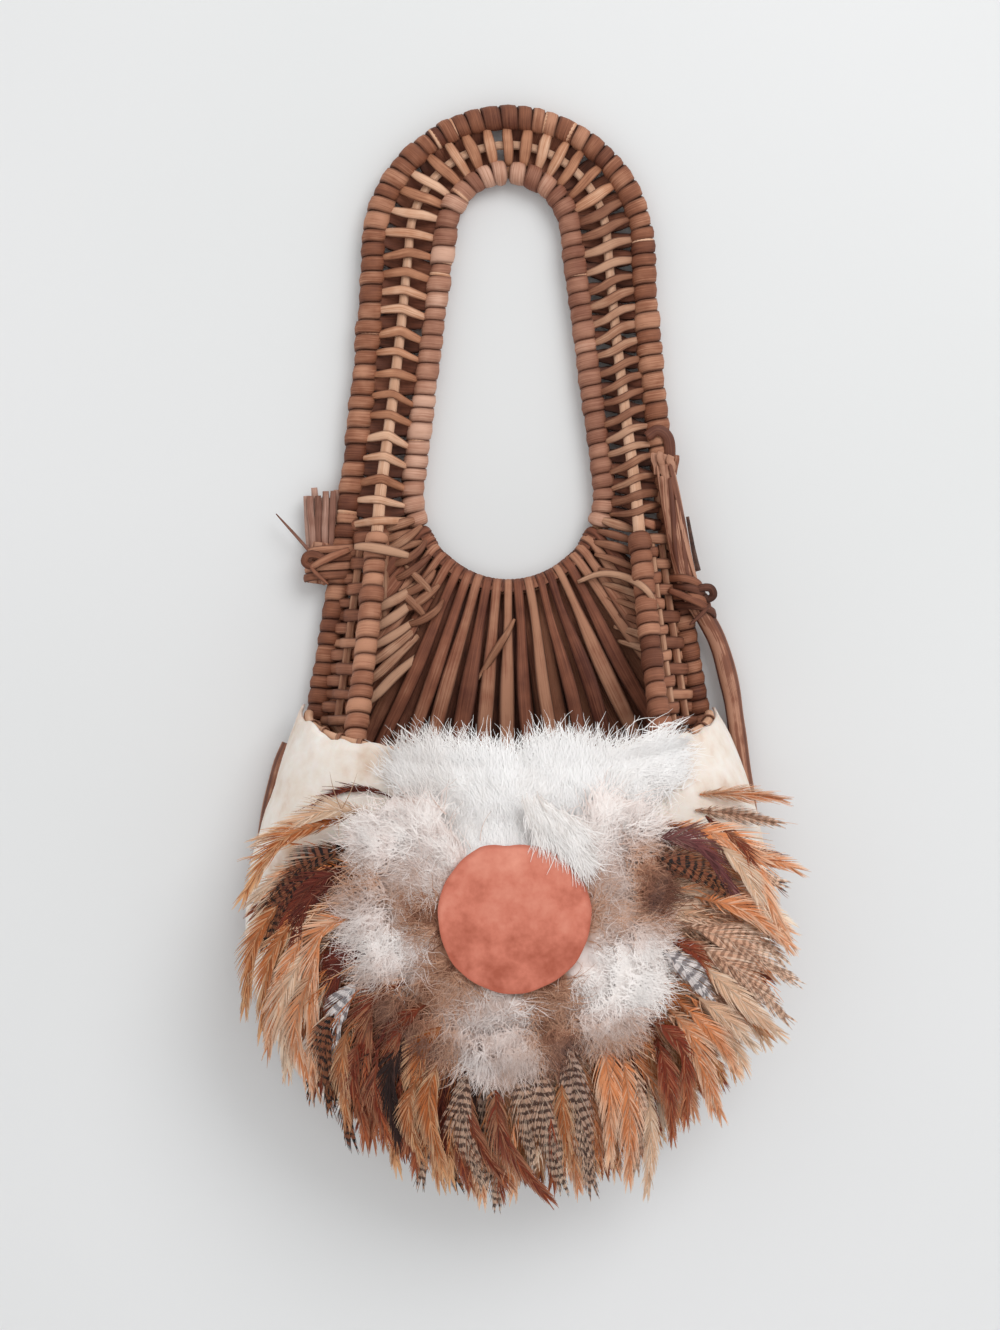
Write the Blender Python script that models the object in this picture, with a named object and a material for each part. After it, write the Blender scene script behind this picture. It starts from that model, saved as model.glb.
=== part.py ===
"""Feathered wall basket, built from its separate rods, strips, skins and feather rows.

Units are metres. +Z is up, +Y points into the wall and the front faces -Y. The origin is
where a nail bears under the crown of the hand hole, on the wall's plane (y = 0).
"""

from math import asin, atan2, ceil, cos, hypot, pi, radians, sin, sqrt, tau

import bmesh
import bpy
from mathutils import Vector

# Clearances between pieces that touch
SEAT = 0.0003
WALL_GAP = 0.0005

# Rods and the bark strips wound on them
ROD_RADIUS = 0.0026
STRIP_THICKNESS = 0.0014
LACE_THICKNESS = 0.0012
WRAP_POINTS = 6
WRAP_PITCH = 0.0088
WRAP_COVER = 0.80
LACE_WIDTH = 0.0052
LACE_PITCH = 0.0118
FAN_WIDTH = 0.0036

# The hand hole and the handle round it
HOLE_TOP_RADIUS = 0.0213
HOLE_BOTTOM_RADIUS = 0.0353
HOLE_CENTRES_APART = 0.108
CROWN_BAND = 0.023
SIDE_BAND = 0.0305
LIMB_FLARE = 0.023
FLARE_POWER = 1.4
FORWARD_POWER = 2.2
CROWN_LACING = 0.024
SHOULDER_LACING = 0.076
LACING_END = 0.1145

# The pouch: half an ellipsoid, cut off by a rim plane that drops towards the front
RIM_DEPTH = 0.222
RIM_SLOPE = 0.29
POUCH_HALF_WIDTH = 0.109
POUCH_UP = 0.150
POUCH_DOWN = 0.098
POUCH_RISE = 0.088
POUCH_BULGE = 0.076
RAWHIDE_THICKNESS = 0.0012
WEAVE_THICKNESS = 0.003
POUCH_SEGMENTS = 34
POUCH_RINGS = 22
RIM_ROD_RADIUS = 0.002
POUCH_ROD_RADIUS = 0.0018
POUCH_ROD_SPACING = 0.021
POUCH_RODS = 5
FRONT_RIB_HALF_SPAN = 0.062
FRONT_TUCK = 0.018
OUTER_TUCK = 0.010

# The back: a lower cross rod, the fan of strips above it and the woven panel below
FAN_ROD_ENDS = 0.004
FAN_ROD_SAG = 0.038
PANEL_THICKNESS = 0.003
FAN_TOP = radians(22)
FAN_SPLIT = radians(54)
SIDE_FAN_LOOPS = 5
CENTRE_FAN_LOOPS = 9
GUSSET_DEPTH = 0.184
GUSSET_SPOKE_RADIUS = 0.0016
GUSSET_LOOPS = 5

# The vine hoop round the pouch, with its two tails lashed to the outer rib
VINE_RADIUS = 0.0042
VINE_INSET = 0.0045
VINE_LEAVES = 0.005
RIGHT_STAND_OFF = 0.0045
RIGHT_TAIL_TOP = 0.118
LEFT_END_DROP = 0.0125
LEFT_END_INSET = 0.0035
LEFT_TAIL_TOP = 0.150
LEFT_TAIL_FOOT = 0.167
RIGHT_LASHING = 0.172
LEFT_LASHING = 0.158
LASHING_WIDTH = 0.0032
LASHING_PITCH = 0.0040
LASHING_TURNS = 3
SPLINT_RADIUS = 0.0012
SPLINT_SPREAD = 0.0021

# Feathers, fur and the leather disc, set out round the disc's centre
DISC_RADIUS = 0.029
DISC_THICKNESS = 0.002
DISC_ASIDE = 0.002
DISC_RISE = 0.013
FEATHER_SPREAD = 0.124
FEATHER_LIFT = 0.0045
FEATHER_REACH = 0.109
FEATHER_FALL = 0.010
OUTER_ROW_START = 0.060
MIDDLE_ROW_START = 0.044
MIDDLE_ROW_REACH = 0.088
DOWN_ROW_START = 0.020
DOWN_ROW_REACH = 0.058
OUTER_FEATHERS = 22
MIDDLE_FEATHERS = 14
DOWN_TUFTS = 11
FEATHER_DROOP = 0.24
FEATHER_RIDGE = 0.0007
ROW_GAP = 0.0009
OUTER_ROW_THICKNESS = 0.006
MIDDLE_ROW_THICKNESS = 0.0026
DOWN_ROW_THICKNESS = 0.0034
FUR_THICKNESS = 0.011
FUR_FOOT = radians(62)
FUR_TOP = radians(44)
RUST_FEATHER_ASIDE = 0.078
RUST_FEATHER_RISE = 0.058
RUST_FEATHER_LENGTH = 0.034
RUST_FEATHER_WIDTH = 0.008
QUILL_ASIDE = 0.056
QUILL_RISE = 0.048
QUILL_LENGTH = 0.036
QUILL_WIDTH = 0.004
VANE_THICKNESS = 0.0012
ROW_LEFT = radians(160)
ROW_RIGHT = radians(380)

# Sizes that follow from those above
WRAP_RADIUS = (ROD_RADIUS + SEAT) / cos(pi / WRAP_POINTS) + STRIP_THICKNESS / 2
WRAP_OUTER = WRAP_RADIUS + STRIP_THICKNESS / 2
TURN_RADIUS = (ROD_RADIUS + SEAT) / cos(pi / 6) + LACE_THICKNESS / 2
RIB_PLANE = -(WRAP_OUTER + WALL_GAP)
EDGE_PLANE = RIB_PLANE - WRAP_OUTER - 0.001
VINE_PLANE = EDGE_PLANE + SEAT + VINE_RADIUS
HOLE_TOP = Vector((0, RIB_PLANE, -HOLE_TOP_RADIUS))
HOLE_BOTTOM = Vector((0, RIB_PLANE, -HOLE_TOP_RADIUS - HOLE_CENTRES_APART))
INNER_TOP_RADIUS = HOLE_TOP_RADIUS + WRAP_OUTER
INNER_BOTTOM_RADIUS = HOLE_BOTTOM_RADIUS + WRAP_OUTER
OUTER_RADIUS = INNER_TOP_RADIUS + SIDE_BAND
OUTER_CENTRE = Vector((0, RIB_PLANE, WRAP_OUTER + CROWN_BAND - OUTER_RADIUS))
RIM_LEVEL = -RIM_DEPTH
POUCH_LEVEL = RIM_LEVEL - POUCH_RISE
DISC_CENTRE = Vector((DISC_ASIDE, 0, POUCH_LEVEL + DISC_RISE))
WEAVE_OUTSIDE = -RAWHIDE_THICKNESS - SEAT
WEAVE_INSIDE = WEAVE_OUTSIDE - WEAVE_THICKNESS
RIM_ROD_OFFSET = -RAWHIDE_THICKNESS - 2.5 * SEAT - RIM_ROD_RADIUS
FRONT_RIB_OFFSET = RIM_ROD_OFFSET - RIM_ROD_RADIUS - 2 * SEAT - WRAP_OUTER
LACING_LEVEL = HOLE_TOP.z - LACING_END
FORWARD = Vector((0, -1, 0))


class Path:
    """A centre line given by close points, read by the distance along it."""

    def __init__(self, points, closed=False):
        self.points = [Vector(p) for p in points]
        self.closed = closed
        if closed:
            self.points.append(self.points[0].copy())
        self.marks = [0.0]
        for before, after in zip(self.points, self.points[1:]):
            self.marks.append(self.marks[-1] + (after - before).length)
        self.length = self.marks[-1]
        self.step = self.length / ceil(self.length / 0.0005)
        self.samples = [self.at(self.step * i) for i in range(ceil(self.length / self.step))]

    def _span(self, distance):
        if self.closed:
            distance %= self.length
        distance = min(max(distance, 0.0), self.length)
        low, high = 0, len(self.marks) - 1
        while high - low > 1:
            middle = (low + high) // 2
            if self.marks[middle] <= distance:
                low = middle
            else:
                high = middle
        return low, (distance - self.marks[low]) / max(self.marks[high] - self.marks[low], 1e-9)

    def at(self, distance):
        low, share = self._span(distance)
        return self.points[low].lerp(self.points[low + 1], share)

    def tangent(self, distance, reach=0.0015):
        return (self.at(distance + reach) - self.at(distance - reach)).normalized()

    def nearest(self, point):
        return min(self.samples, key=lambda p: (p - point).length_squared)

    def distance_near(self, point):
        nearest = self.nearest(point)
        return self.samples.index(nearest) * self.step

    def coarse(self, count):
        """The same path through fewer points, as the rod on it has them."""
        return Path(self.even(count), self.closed)

    def even(self, count):
        """Points at equal distances, without the repeated one of a closed path."""
        steps = count if self.closed else count - 1
        return [self.at(self.length * i / steps) for i in range(count)]


def smooth_through(points, steps=6):
    """A Catmull-Rom curve through a few points, as close points."""
    padded = [2 * points[0] - points[1], *points, 2 * points[-1] - points[-2]]
    curve = []
    for a, b, c, d in zip(padded, padded[1:], padded[2:], padded[3:]):
        for i in range(steps):
            t = i / steps
            bend = (c - a) * t + (2 * a - 5 * b + 4 * c - d) * t * t
            curve.append(b + (bend + (3 * b - a - 3 * c + d) * t**3) / 2)
    return [*curve, points[-1].copy()]


def mirrored(vector):
    return Vector((-vector.x, vector.y, vector.z))


# Scene, materials and the ways a solid is made

def clear_scene():
    for obj in list(bpy.data.objects):
        bpy.data.objects.remove(obj)


def make_material(name, colour, roughness):
    material = bpy.data.materials.new(name)
    material.use_nodes = True
    shader = material.node_tree.nodes["Principled BSDF"]
    shader.inputs["Base Color"].default_value = (*colour, 1.0)
    shader.inputs["Roughness"].default_value = roughness
    shader.inputs["Metallic"].default_value = 0.0
    return material


def add_object(name, data, material):
    obj = bpy.data.objects.new(name, data)
    bpy.context.scene.collection.objects.link(obj)
    data.materials.append(material)
    return obj


def add_mesh(name, bm, material):
    bmesh.ops.recalc_face_normals(bm, faces=bm.faces)
    mesh = bpy.data.meshes.new(name)
    bm.to_mesh(mesh)
    bm.free()
    return add_object(name, mesh, material)


def rod(name, points, radius, material, closed=False, sides=6, tip=1.0):
    """A round rod along points; its radius runs to tip times its first one."""
    curve = bpy.data.curves.new(name, "CURVE")
    curve.dimensions = "3D"
    curve.bevel_depth = radius
    curve.bevel_resolution = (sides - 4) // 2
    curve.use_fill_caps = True
    spline = curve.splines.new("POLY")
    spline.points.add(len(points) - 1)
    spline.use_cyclic_u = closed
    for i, (place, point) in enumerate(zip(spline.points, points)):
        place.co = (*point, 1.0)
        place.radius = 1 + (tip - 1) * i / (len(points) - 1)
    return add_object(name, curve, material)


def strip(name, stations, thickness, material):
    """A flat strip through stations, each (centre, direction across, direction out, width)."""
    bm = bmesh.new()
    rings = []
    for centre, across, out, width in stations:
        side, skin = across * (width / 2), out * (thickness / 2)
        corners = (-side - skin, side - skin, side + skin, -side + skin)
        rings.append([bm.verts.new(centre + corner) for corner in corners])
    for before, after in zip(rings, rings[1:]):
        for i in range(4):
            j = (i + 1) % 4
            bm.faces.new((before[i], before[j], after[j], after[i]))
    bm.faces.new(reversed(rings[0]))
    bm.faces.new(rings[-1])
    return add_mesh(name, bm, material)


def mirror_stations(stations):
    return [(mirrored(c), mirrored(a), mirrored(o), w) for c, a, o, w in stations]


def least_gap(stations, per_turn):
    """The least gap between a turn's edge and the next turn's."""
    pairs = zip(stations, stations[per_turn:])
    return min((b[0] - a[0]).length - (a[3] + b[3]) / 2 for a, b in pairs)


def report_gap(name, stations, per_turn):
    print(f"{name}: least gap to itself {least_gap(stations, per_turn) * 1000:.2f} mm")


def winding_pair(name, stations, per_turn, thickness, material):
    """The same strip on the right and, mirrored, on the left."""
    report_gap(name, stations, per_turn)
    strip("right_" + name, stations, thickness, material)
    strip("left_" + name, mirror_stations(stations), thickness, material)


# Centre lines of the frame

def outer_x(level):
    """Half the distance between the outer rib's limbs at a height."""
    if level >= OUTER_CENTRE.z:
        return sqrt(max(OUTER_RADIUS**2 - (level - OUTER_CENTRE.z) ** 2, 0.0))
    share = (OUTER_CENTRE.z - level) / (OUTER_CENTRE.z - RIM_LEVEL)
    return OUTER_RADIUS + LIMB_FLARE * share**FLARE_POWER


def tangent_angle():
    """The height angle at which the hole's straight sides leave its two end circles."""
    return asin((INNER_BOTTOM_RADIUS - INNER_TOP_RADIUS) / HOLE_CENTRES_APART)


def inner_x(level):
    """Half the distance between the inner rib's straight sides at a height."""
    share = (HOLE_TOP.z - level) / HOLE_CENTRES_APART
    return INNER_TOP_RADIUS + (INNER_BOTTOM_RADIUS - INNER_TOP_RADIUS) * min(max(share, 0), 1)


def arc_point(centre, radius, angle):
    return centre + Vector((radius * cos(angle), 0, radius * sin(angle)))


def inner_path():
    """The closed inner rib, clockwise from the crown: an egg standing on its wide end."""
    angle = tangent_angle()
    steps = 60
    top = [pi / 2 + (angle - pi / 2) * i / steps for i in range(steps)]
    bottom = [angle + (-pi - 2 * angle) * i / (2 * steps) for i in range(2 * steps + 1)]
    right = [arc_point(HOLE_TOP, INNER_TOP_RADIUS, a) for a in top]
    low = [arc_point(HOLE_BOTTOM, INNER_BOTTOM_RADIUS, a) for a in bottom]
    sides = [arc_point(HOLE_TOP, INNER_TOP_RADIUS, angle).lerp(low[0], i / 40) for i in range(40)]
    left = [mirrored(p) for p in reversed([*right[1:], *sides])]
    return Path([*right, *sides, *low, *left], closed=True)


def outer_path():
    """The outer rib from its left end over the crown to its right end."""
    bottom = RIM_LEVEL - OUTER_TUCK
    crown = [arc_point(OUTER_CENTRE, OUTER_RADIUS, pi - pi * i / 120) for i in range(121)]
    levels = [OUTER_CENTRE.z + (bottom - OUTER_CENTRE.z) * i / 80 for i in range(1, 81)]
    limb = [Vector((outer_x(z), RIB_PLANE, z)) for z in levels]
    return Path([*(mirrored(p) for p in reversed(limb)), *crown, *limb])


def pouch_height(above, offset=0.0):
    """The pouch's height above or below its widest level, grown by offset."""
    return (POUCH_UP if above > 0 else POUCH_DOWN) + offset


def dome_depth(x, z, offset=0.0):
    """How far the pouch's egg-shaped front, grown by offset, stands out from its edge plane."""
    across = x / (POUCH_HALF_WIDTH + offset)
    up = (z - POUCH_LEVEL) / pouch_height(z - POUCH_LEVEL, offset)
    return (POUCH_BULGE + offset) * sqrt(max(1 - across**2 - up**2, 0.0))


def rim_level(depth):
    """The rim plane's height at a depth in front of the pouch's edge plane."""
    return RIM_LEVEL - RIM_SLOPE * depth


def front_rim_point():
    """Where the middle rib passes the rim, just inside the rim rod."""
    depth = 0.0
    for _ in range(40):
        depth = dome_depth(FRONT_RIB_HALF_SPAN, rim_level(depth), FRONT_RIB_OFFSET)
    return Vector((FRONT_RIB_HALF_SPAN, EDGE_PLANE - depth, rim_level(depth)))


def middle_point(level):
    """The right middle rib at a height: midway in the handle, then forward to the rim."""
    rim = front_rim_point()
    start = (HOLE_TOP.z + OUTER_CENTRE.z) / 2
    inset = (outer_x(level) - inner_x(level)) / 2
    if level < HOLE_BOTTOM.z:
        top = (outer_x(HOLE_BOTTOM.z) - inner_x(HOLE_BOTTOM.z)) / 2
        share = (HOLE_BOTTOM.z - level) / (HOLE_BOTTOM.z - rim.z)
        inset = top + (outer_x(rim.z) - rim.x - top) * share
    if level < rim.z:
        depth = dome_depth(rim.x, level, FRONT_RIB_OFFSET)
        return Vector((rim.x, EDGE_PLANE - depth, level))
    forward = (RIB_PLANE - rim.y) * ((start - level) / (start - rim.z)) ** FORWARD_POWER
    return Vector((outer_x(level) - inset, RIB_PLANE - forward, level))


def middle_path():
    """The middle rib from its left tucked end over the crown to its right one."""
    start = (HOLE_TOP.z + OUTER_CENTRE.z) / 2
    bottom = front_rim_point().z - FRONT_TUCK
    crown = []
    for i in range(121):
        angle = pi - pi * i / 120
        inner = arc_point(HOLE_TOP, INNER_TOP_RADIUS, angle)
        crown.append(inner.lerp(arc_point(OUTER_CENTRE, OUTER_RADIUS, angle), 0.5))
    limb = [middle_point(start + (bottom - start) * i / 100) for i in range(2, 101)]
    return Path([*(mirrored(p) for p in reversed(limb)), *crown, *limb])


def gusset_path():
    """The right gusset's spoke, midway between the outer rib and the middle rib."""
    top, bottom = -GUSSET_DEPTH + 0.008, RIM_LEVEL - 0.004
    levels = [top + (bottom - top) * i / 40 for i in range(41)]
    return Path([Vector((outer_x(z), RIB_PLANE, z)).lerp(middle_point(z), 0.5) for z in levels])


def fan_rod_path():
    """The cross rod that carries the fan's lower ends: an arc between the outer ribs."""
    level = RIM_LEVEL - FAN_ROD_ENDS
    half = outer_x(level) - WRAP_OUTER - ROD_RADIUS - SEAT
    radius = (half**2 + FAN_ROD_SAG**2) / (2 * FAN_ROD_SAG)
    centre = Vector((0, RIB_PLANE, level - FAN_ROD_SAG + radius))
    end = asin(half / radius)
    return Path([arc_point(centre, radius, -pi / 2 - end + 2 * end * i / 120) for i in range(121)])


def beside_rib(depth, share):
    """A place of the vine beside the right outer rib, at a share of the rods' distance aside."""
    reach = WRAP_OUTER + VINE_RADIUS + SEAT
    side = share * reach
    forward = max(sqrt(max(reach**2 - side**2, 0.0)), RIB_PLANE - VINE_PLANE)
    return Vector((outer_x(-depth) + side, RIB_PLANE - forward, -depth))


def beside_pouch(below_rim, stand_off):
    """A place of the vine on the right, at a distance outside the pouch's outline."""
    level = RIM_LEVEL - below_rim
    shrink = sqrt(1 - ((level - POUCH_LEVEL) / POUCH_UP) ** 2)
    return Vector((POUCH_HALF_WIDTH * shrink + stand_off, VINE_PLANE, level))


def vine_path():
    """The hoop from its left end, round under the pouch, to the tip of its right tail.

    The left end stops behind the rawhide's corner, just under the outer rib's own end.
    """
    right_gaps = ((0.209, 1.62), (0.190, 1.35), (RIGHT_LASHING, 0.52),
                  (0.157, 0.25), (0.137, 0.15), (RIGHT_TAIL_TOP, 0.10))
    left = [mirrored(beside_pouch(drop, -LEFT_END_INSET)) for drop in (LEFT_END_DROP,
                                                                       2 * LEFT_END_DROP)]
    right = [beside_pouch(VINE_LEAVES, RIGHT_STAND_OFF), *(beside_rib(*gap) for gap in right_gaps)]
    wide = POUCH_HALF_WIDTH - VINE_INSET
    hoop = []
    for i in range(19):
        angle = radians(166 + 208 * i / 18)
        high = pouch_height(sin(angle), -VINE_INSET)
        hoop.append(Vector((wide * cos(angle), VINE_PLANE, POUCH_LEVEL + high * sin(angle))))
    return Path(smooth_through([*left, *hoop, *right]))


def left_tail_path():
    """The short length of the vine that is lashed beside the left outer rib, from its top."""
    step = (LEFT_TAIL_FOOT - LEFT_TAIL_TOP) / 8
    return Path([mirrored(beside_rib(LEFT_TAIL_TOP + i * step, 1.0)) for i in range(9)])


# Strips wound on one rod, laced over a rod, and looped round two rods

def wind(path, start, end, turns, cover=WRAP_COVER):
    """Stations of a strip wound round a rod between two distances along it."""
    count = turns * WRAP_POINTS
    width = abs(end - start) / turns * cover
    stations = []
    for i in range(count + 1):
        distance = start + (end - start) * i / count
        angle = tau * i / WRAP_POINTS
        along = path.tangent(distance)
        side = FORWARD.cross(along).normalized()
        out = side * cos(angle) + along.cross(side) * sin(angle)
        stations.append((path.at(distance) + out * WRAP_RADIUS, along, out, width))
    return stations


def turns_for(length, pitch, most=24):
    """The whole number of turns that comes nearest a pitch, up to a most."""
    return max(2, min(most, round(length / pitch)))


def lace(path, rod_radius, start, end, turns, width, first, second):
    """Stations of a strip laced over and under a rod, reaching to a wrap on each side.

    first and second give the neighbours' wrapped centre lines: the strip turns back just
    short of their wraps.
    """
    stations = []
    lift = (rod_radius + SEAT) / cos(pi / 6) + LACE_THICKNESS / 2
    for i in range(turns * 6 + 1):
        distance = start + (end - start) * i / (turns * 6)
        centre, along = path.at(distance), path.tangent(distance)
        reaches = []
        for neighbour in (first, second):
            away = neighbour.nearest(centre) - centre
            away -= along * away.dot(along)
            room = away.length - WRAP_OUTER - 2 * SEAT - LACE_THICKNESS / 2
            reaches.append(away.normalized() * room)
        across = (reaches[0] - reaches[1]).normalized()
        front = across.cross(along)
        if front.y > 0:
            front = -front
        step = i % 6
        face = front if step in (1, 2) else -front
        if step in (0, 3):
            place, out = reaches[step // 3], reaches[step // 3].normalized()
        else:
            sign = 1 if step in (1, 5) else -1
            place = face * lift + across * (sign * rod_radius)
            out = (face + across * (sign * 0.35)).normalized()
        stations.append((centre + place, along, out, width))
    return stations


def turn_stations(path, distance, leg, reach, radius, angles):
    """Stations of a strip's turn round a rod; its legs go leg's way times reach."""
    across = path.tangent(distance)
    if across.dot(leg.cross(FORWARD)) < 0:
        across = -across
    towards = FORWARD.cross(across).normalized()
    stations = []
    for angle in angles:
        out = towards * (reach * cos(angle)) + FORWARD * sin(angle)
        stations.append((path.at(distance) + out * radius, across, out, FAN_WIDTH))
    return stations


def fan_loops(top, bottom, pairs, bottom_radius):
    """Stations of a strip looped over the hole's rib and round what carries its low end.

    pairs gives, loop by loop, the distances of its ends along the two paths.
    """
    turn = (radians(90), radians(150), radians(210), radians(270))
    stations = []
    for above, below in pairs:
        leg = (top.at(above) - bottom.at(below)).normalized()
        stations += turn_stations(bottom, below, leg, 1, bottom_radius, turn)
        stations += turn_stations(top, above, leg, -1, TURN_RADIUS, reversed(turn))
    return stations


def build_ribs(wood, light_wood):
    inner, outer, middle = (inner_path().coarse(54), outer_path().coarse(50),
                            middle_path().coarse(50))
    rod("inner_rib", inner.points[:-1], ROD_RADIUS, wood, closed=True)
    rod("outer_rib", outer.points, ROD_RADIUS, wood)
    rod("middle_rib", middle.points, ROD_RADIUS, light_wood)
    return inner, outer, middle


def build_wraps(inner, outer, middle, bark):
    top = outer.length / 2
    crown = OUTER_RADIUS * radians(80)
    turns = turns_for(2 * crown, WRAP_PITCH, 18)
    stations = wind(outer, top - crown, top + crown, turns)
    report_gap("outer_crown_wrap", stations, WRAP_POINTS)
    strip("outer_crown_wrap", stations, STRIP_THICKNESS, bark)
    start, end = top + crown + WRAP_PITCH * 0.86, outer.length - WRAP_PITCH * 0.6
    limb = wind(outer, start, end, turns_for(end - start, WRAP_PITCH, 20))
    winding_pair("outer_limb_wrap", limb, WRAP_POINTS, STRIP_THICKNESS, bark)

    fan_start = inner_rib_distance(inner, -FAN_TOP)
    low = fan_start - FAN_WIDTH - WRAP_PITCH / 2
    high = WRAP_PITCH / 2
    stations = wind(inner, high, low, turns_for(low - high, WRAP_PITCH, 18), 0.72)
    winding_pair("inner_wrap", stations, WRAP_POINTS, STRIP_THICKNESS, bark)

    first = middle.distance_near(middle_point(LACING_LEVEL - 0.010))
    last = middle.length - 0.004
    stations = wind(middle, first, last, turns_for(last - first, WRAP_PITCH, 11))
    winding_pair("front_rib_wrap", stations, WRAP_POINTS, STRIP_THICKNESS, bark)


def inner_rib_distance(inner, angle):
    """The distance along the inner rib, from the crown, to a height angle on its low circle."""
    return inner.distance_near(arc_point(HOLE_BOTTOM, INNER_BOTTOM_RADIUS, angle))


def build_lacing(inner, outer, middle, light_bark, bark):
    top = middle.length / 2
    end = middle.distance_near(middle_point(LACING_LEVEL)) - top
    gap = LACE_WIDTH + 2 * SEAT

    turns = turns_for(2 * CROWN_LACING, LACE_PITCH)
    low, high = top - CROWN_LACING, top + CROWN_LACING
    stations = lace(middle, ROD_RADIUS, low, high, turns, LACE_WIDTH, outer, inner)
    report_gap("crown_lacing", stations, 6)
    strip("crown_lacing", stations, LACE_THICKNESS, light_bark)
    for name, low, high in (("shoulder_lacing", CROWN_LACING + gap, SHOULDER_LACING),
                            ("limb_lacing", SHOULDER_LACING + gap, end)):
        turns = turns_for(high - low, LACE_PITCH)
        stations = lace(middle, ROD_RADIUS, top + low, top + high, turns, LACE_WIDTH, outer, inner)
        winding_pair(name, stations, 6, LACE_THICKNESS, light_bark)

    spoke = gusset_path().coarse(8)
    rod("right_gusset_spoke", spoke.points, GUSSET_SPOKE_RADIUS, bark)
    rod("left_gusset_spoke", [mirrored(p) for p in spoke.points], GUSSET_SPOKE_RADIUS, bark)
    start, end = 0.010, spoke.length - 0.004
    stations = lace(spoke, GUSSET_SPOKE_RADIUS, start, end, GUSSET_LOOPS, LACE_WIDTH, outer, middle)
    winding_pair("gusset_lacing", stations, 6, LACE_THICKNESS, bark)


def build_fan(inner, outer, bark):
    fan_rod = fan_rod_path().coarse(20)
    rod("fan_rod", fan_rod.points, ROD_RADIUS, bark)
    split = inner_rib_distance(inner, -FAN_SPLIT)
    bottom = inner_rib_distance(inner, -pi / 2)
    first, last = split + FAN_WIDTH, 2 * bottom - split - FAN_WIDTH
    edge = 3 * ROD_RADIUS
    pairs = []
    for i in range(CENTRE_FAN_LOOPS):
        share = i / (CENTRE_FAN_LOOPS - 1)
        across = fan_rod.length - edge - (fan_rod.length - 2 * edge) * share
        pairs.append((first + (last - first) * share, across))
    stations = fan_loops(inner, fan_rod, pairs, TURN_RADIUS)
    report_gap("centre_fan", stations, 8)
    strip("centre_fan", stations, LACE_THICKNESS, bark)

    turn_radius = LACE_THICKNESS / 2 + 2 * SEAT
    stand_off = WRAP_OUTER + SEAT + turn_radius + LACE_THICKNESS / 2
    levels = [-GUSSET_DEPTH + (RIM_LEVEL + GUSSET_DEPTH + 0.004) * i / 40 for i in range(41)]
    beside = Path([Vector((outer_x(z) - stand_off, RIB_PLANE, z)) for z in levels])
    start = inner_rib_distance(inner, -FAN_TOP)
    pairs = []
    for i in range(SIDE_FAN_LOOPS):
        share = i / (SIDE_FAN_LOOPS - 1)
        pairs.append((start + (split - FAN_WIDTH / 2 - start) * share, beside.length * share))
    stations = fan_loops(inner, beside, pairs, turn_radius)
    winding_pair("side_fan", stations, 8, LACE_THICKNESS, bark)
    return fan_rod


def build_back_panel(fan_rod, bark):
    """The woven back of the pouch: a flat panel between the fan rod and the vine hoop."""
    below = TURN_RADIUS + LACE_THICKNESS / 2 + 5 * SEAT
    inset = -VINE_INSET - VINE_RADIUS - 2 * SEAT
    wide = POUCH_HALF_WIDTH + inset
    corner_level = RIM_LEVEL - OUTER_TUCK - 0.002
    corner = asin((corner_level - POUCH_LEVEL) / pouch_height(1, inset))
    outline = []
    for i in range(33):
        angle = corner - (pi + 2 * corner) * i / 32
        high = pouch_height(sin(angle), inset)
        outline.append(Vector((wide * cos(angle), 0, POUCH_LEVEL + high * sin(angle))))
    for point in fan_rod.even(17):
        outline.append(Vector((point.x, 0, min(point.z - below, corner_level))))
    bm = bmesh.new()
    face = bm.faces.new([bm.verts.new(p) for p in outline])
    grown = bmesh.ops.extrude_face_region(bm, geom=[face])
    verts = [v for v in grown["geom"] if isinstance(v, bmesh.types.BMVert)]
    bmesh.ops.translate(bm, verts=verts, vec=FORWARD * PANEL_THICKNESS)
    add_mesh("back_panel", bm, bark)


def build_vine(vine_wood, bark):
    vine = vine_path().coarse(48)
    rod("vine_hoop", vine.points, VINE_RADIUS, vine_wood, sides=8)
    tail = left_tail_path()
    left_side = [mirrored(p) for p in tail.samples]
    tail = tail.coarse(4)
    rod("left_vine_tail", tail.points, VINE_RADIUS, vine_wood, sides=8)
    right_side = [p for p in vine.samples if p.x > 0]
    stations = lashing(right_side, RIGHT_LASHING)
    report_gap("right_lashing", stations, 12)
    strip("right_lashing", stations, LACE_THICKNESS, bark)
    stations = lashing(left_side, LEFT_LASHING)
    report_gap("left_lashing", stations, 12)
    strip("left_lashing", mirror_stations(stations), LACE_THICKNESS, bark)

    left_tips = (Vector((-0.019, -0.001, 0.013)), Vector((-0.004, -0.003, 0.028)),
                 Vector((0.0045, -0.001, 0.029)), Vector((0.000, 0.003, 0.031)))
    along = (tail.points[0] - tail.points[1]).normalized()
    splints("left_splint", tail.points[0], along, left_tips, vine_wood)
    right_tips = (Vector((0.004, -0.001, 0.013)), Vector((0.001, -0.003, 0.016)),
                  Vector((-0.003, 0.000, 0.012)))
    along = (vine.points[-1] - vine.points[-2]).normalized()
    splints("right_splint", vine.points[-1], along, right_tips, vine_wood)

    twig_gap = VINE_RADIUS + SPLINT_RADIUS + SEAT
    levels = [-RIGHT_LASHING + 0.010 + 0.0045 * i for i in range(6)]
    points = []
    for level in levels:
        near = at_level(right_side, level)
        points.append(Vector((near.x + twig_gap, near.y, level)))
    rod("right_twig", points, SPLINT_RADIUS, bark, tip=0.6)


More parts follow.
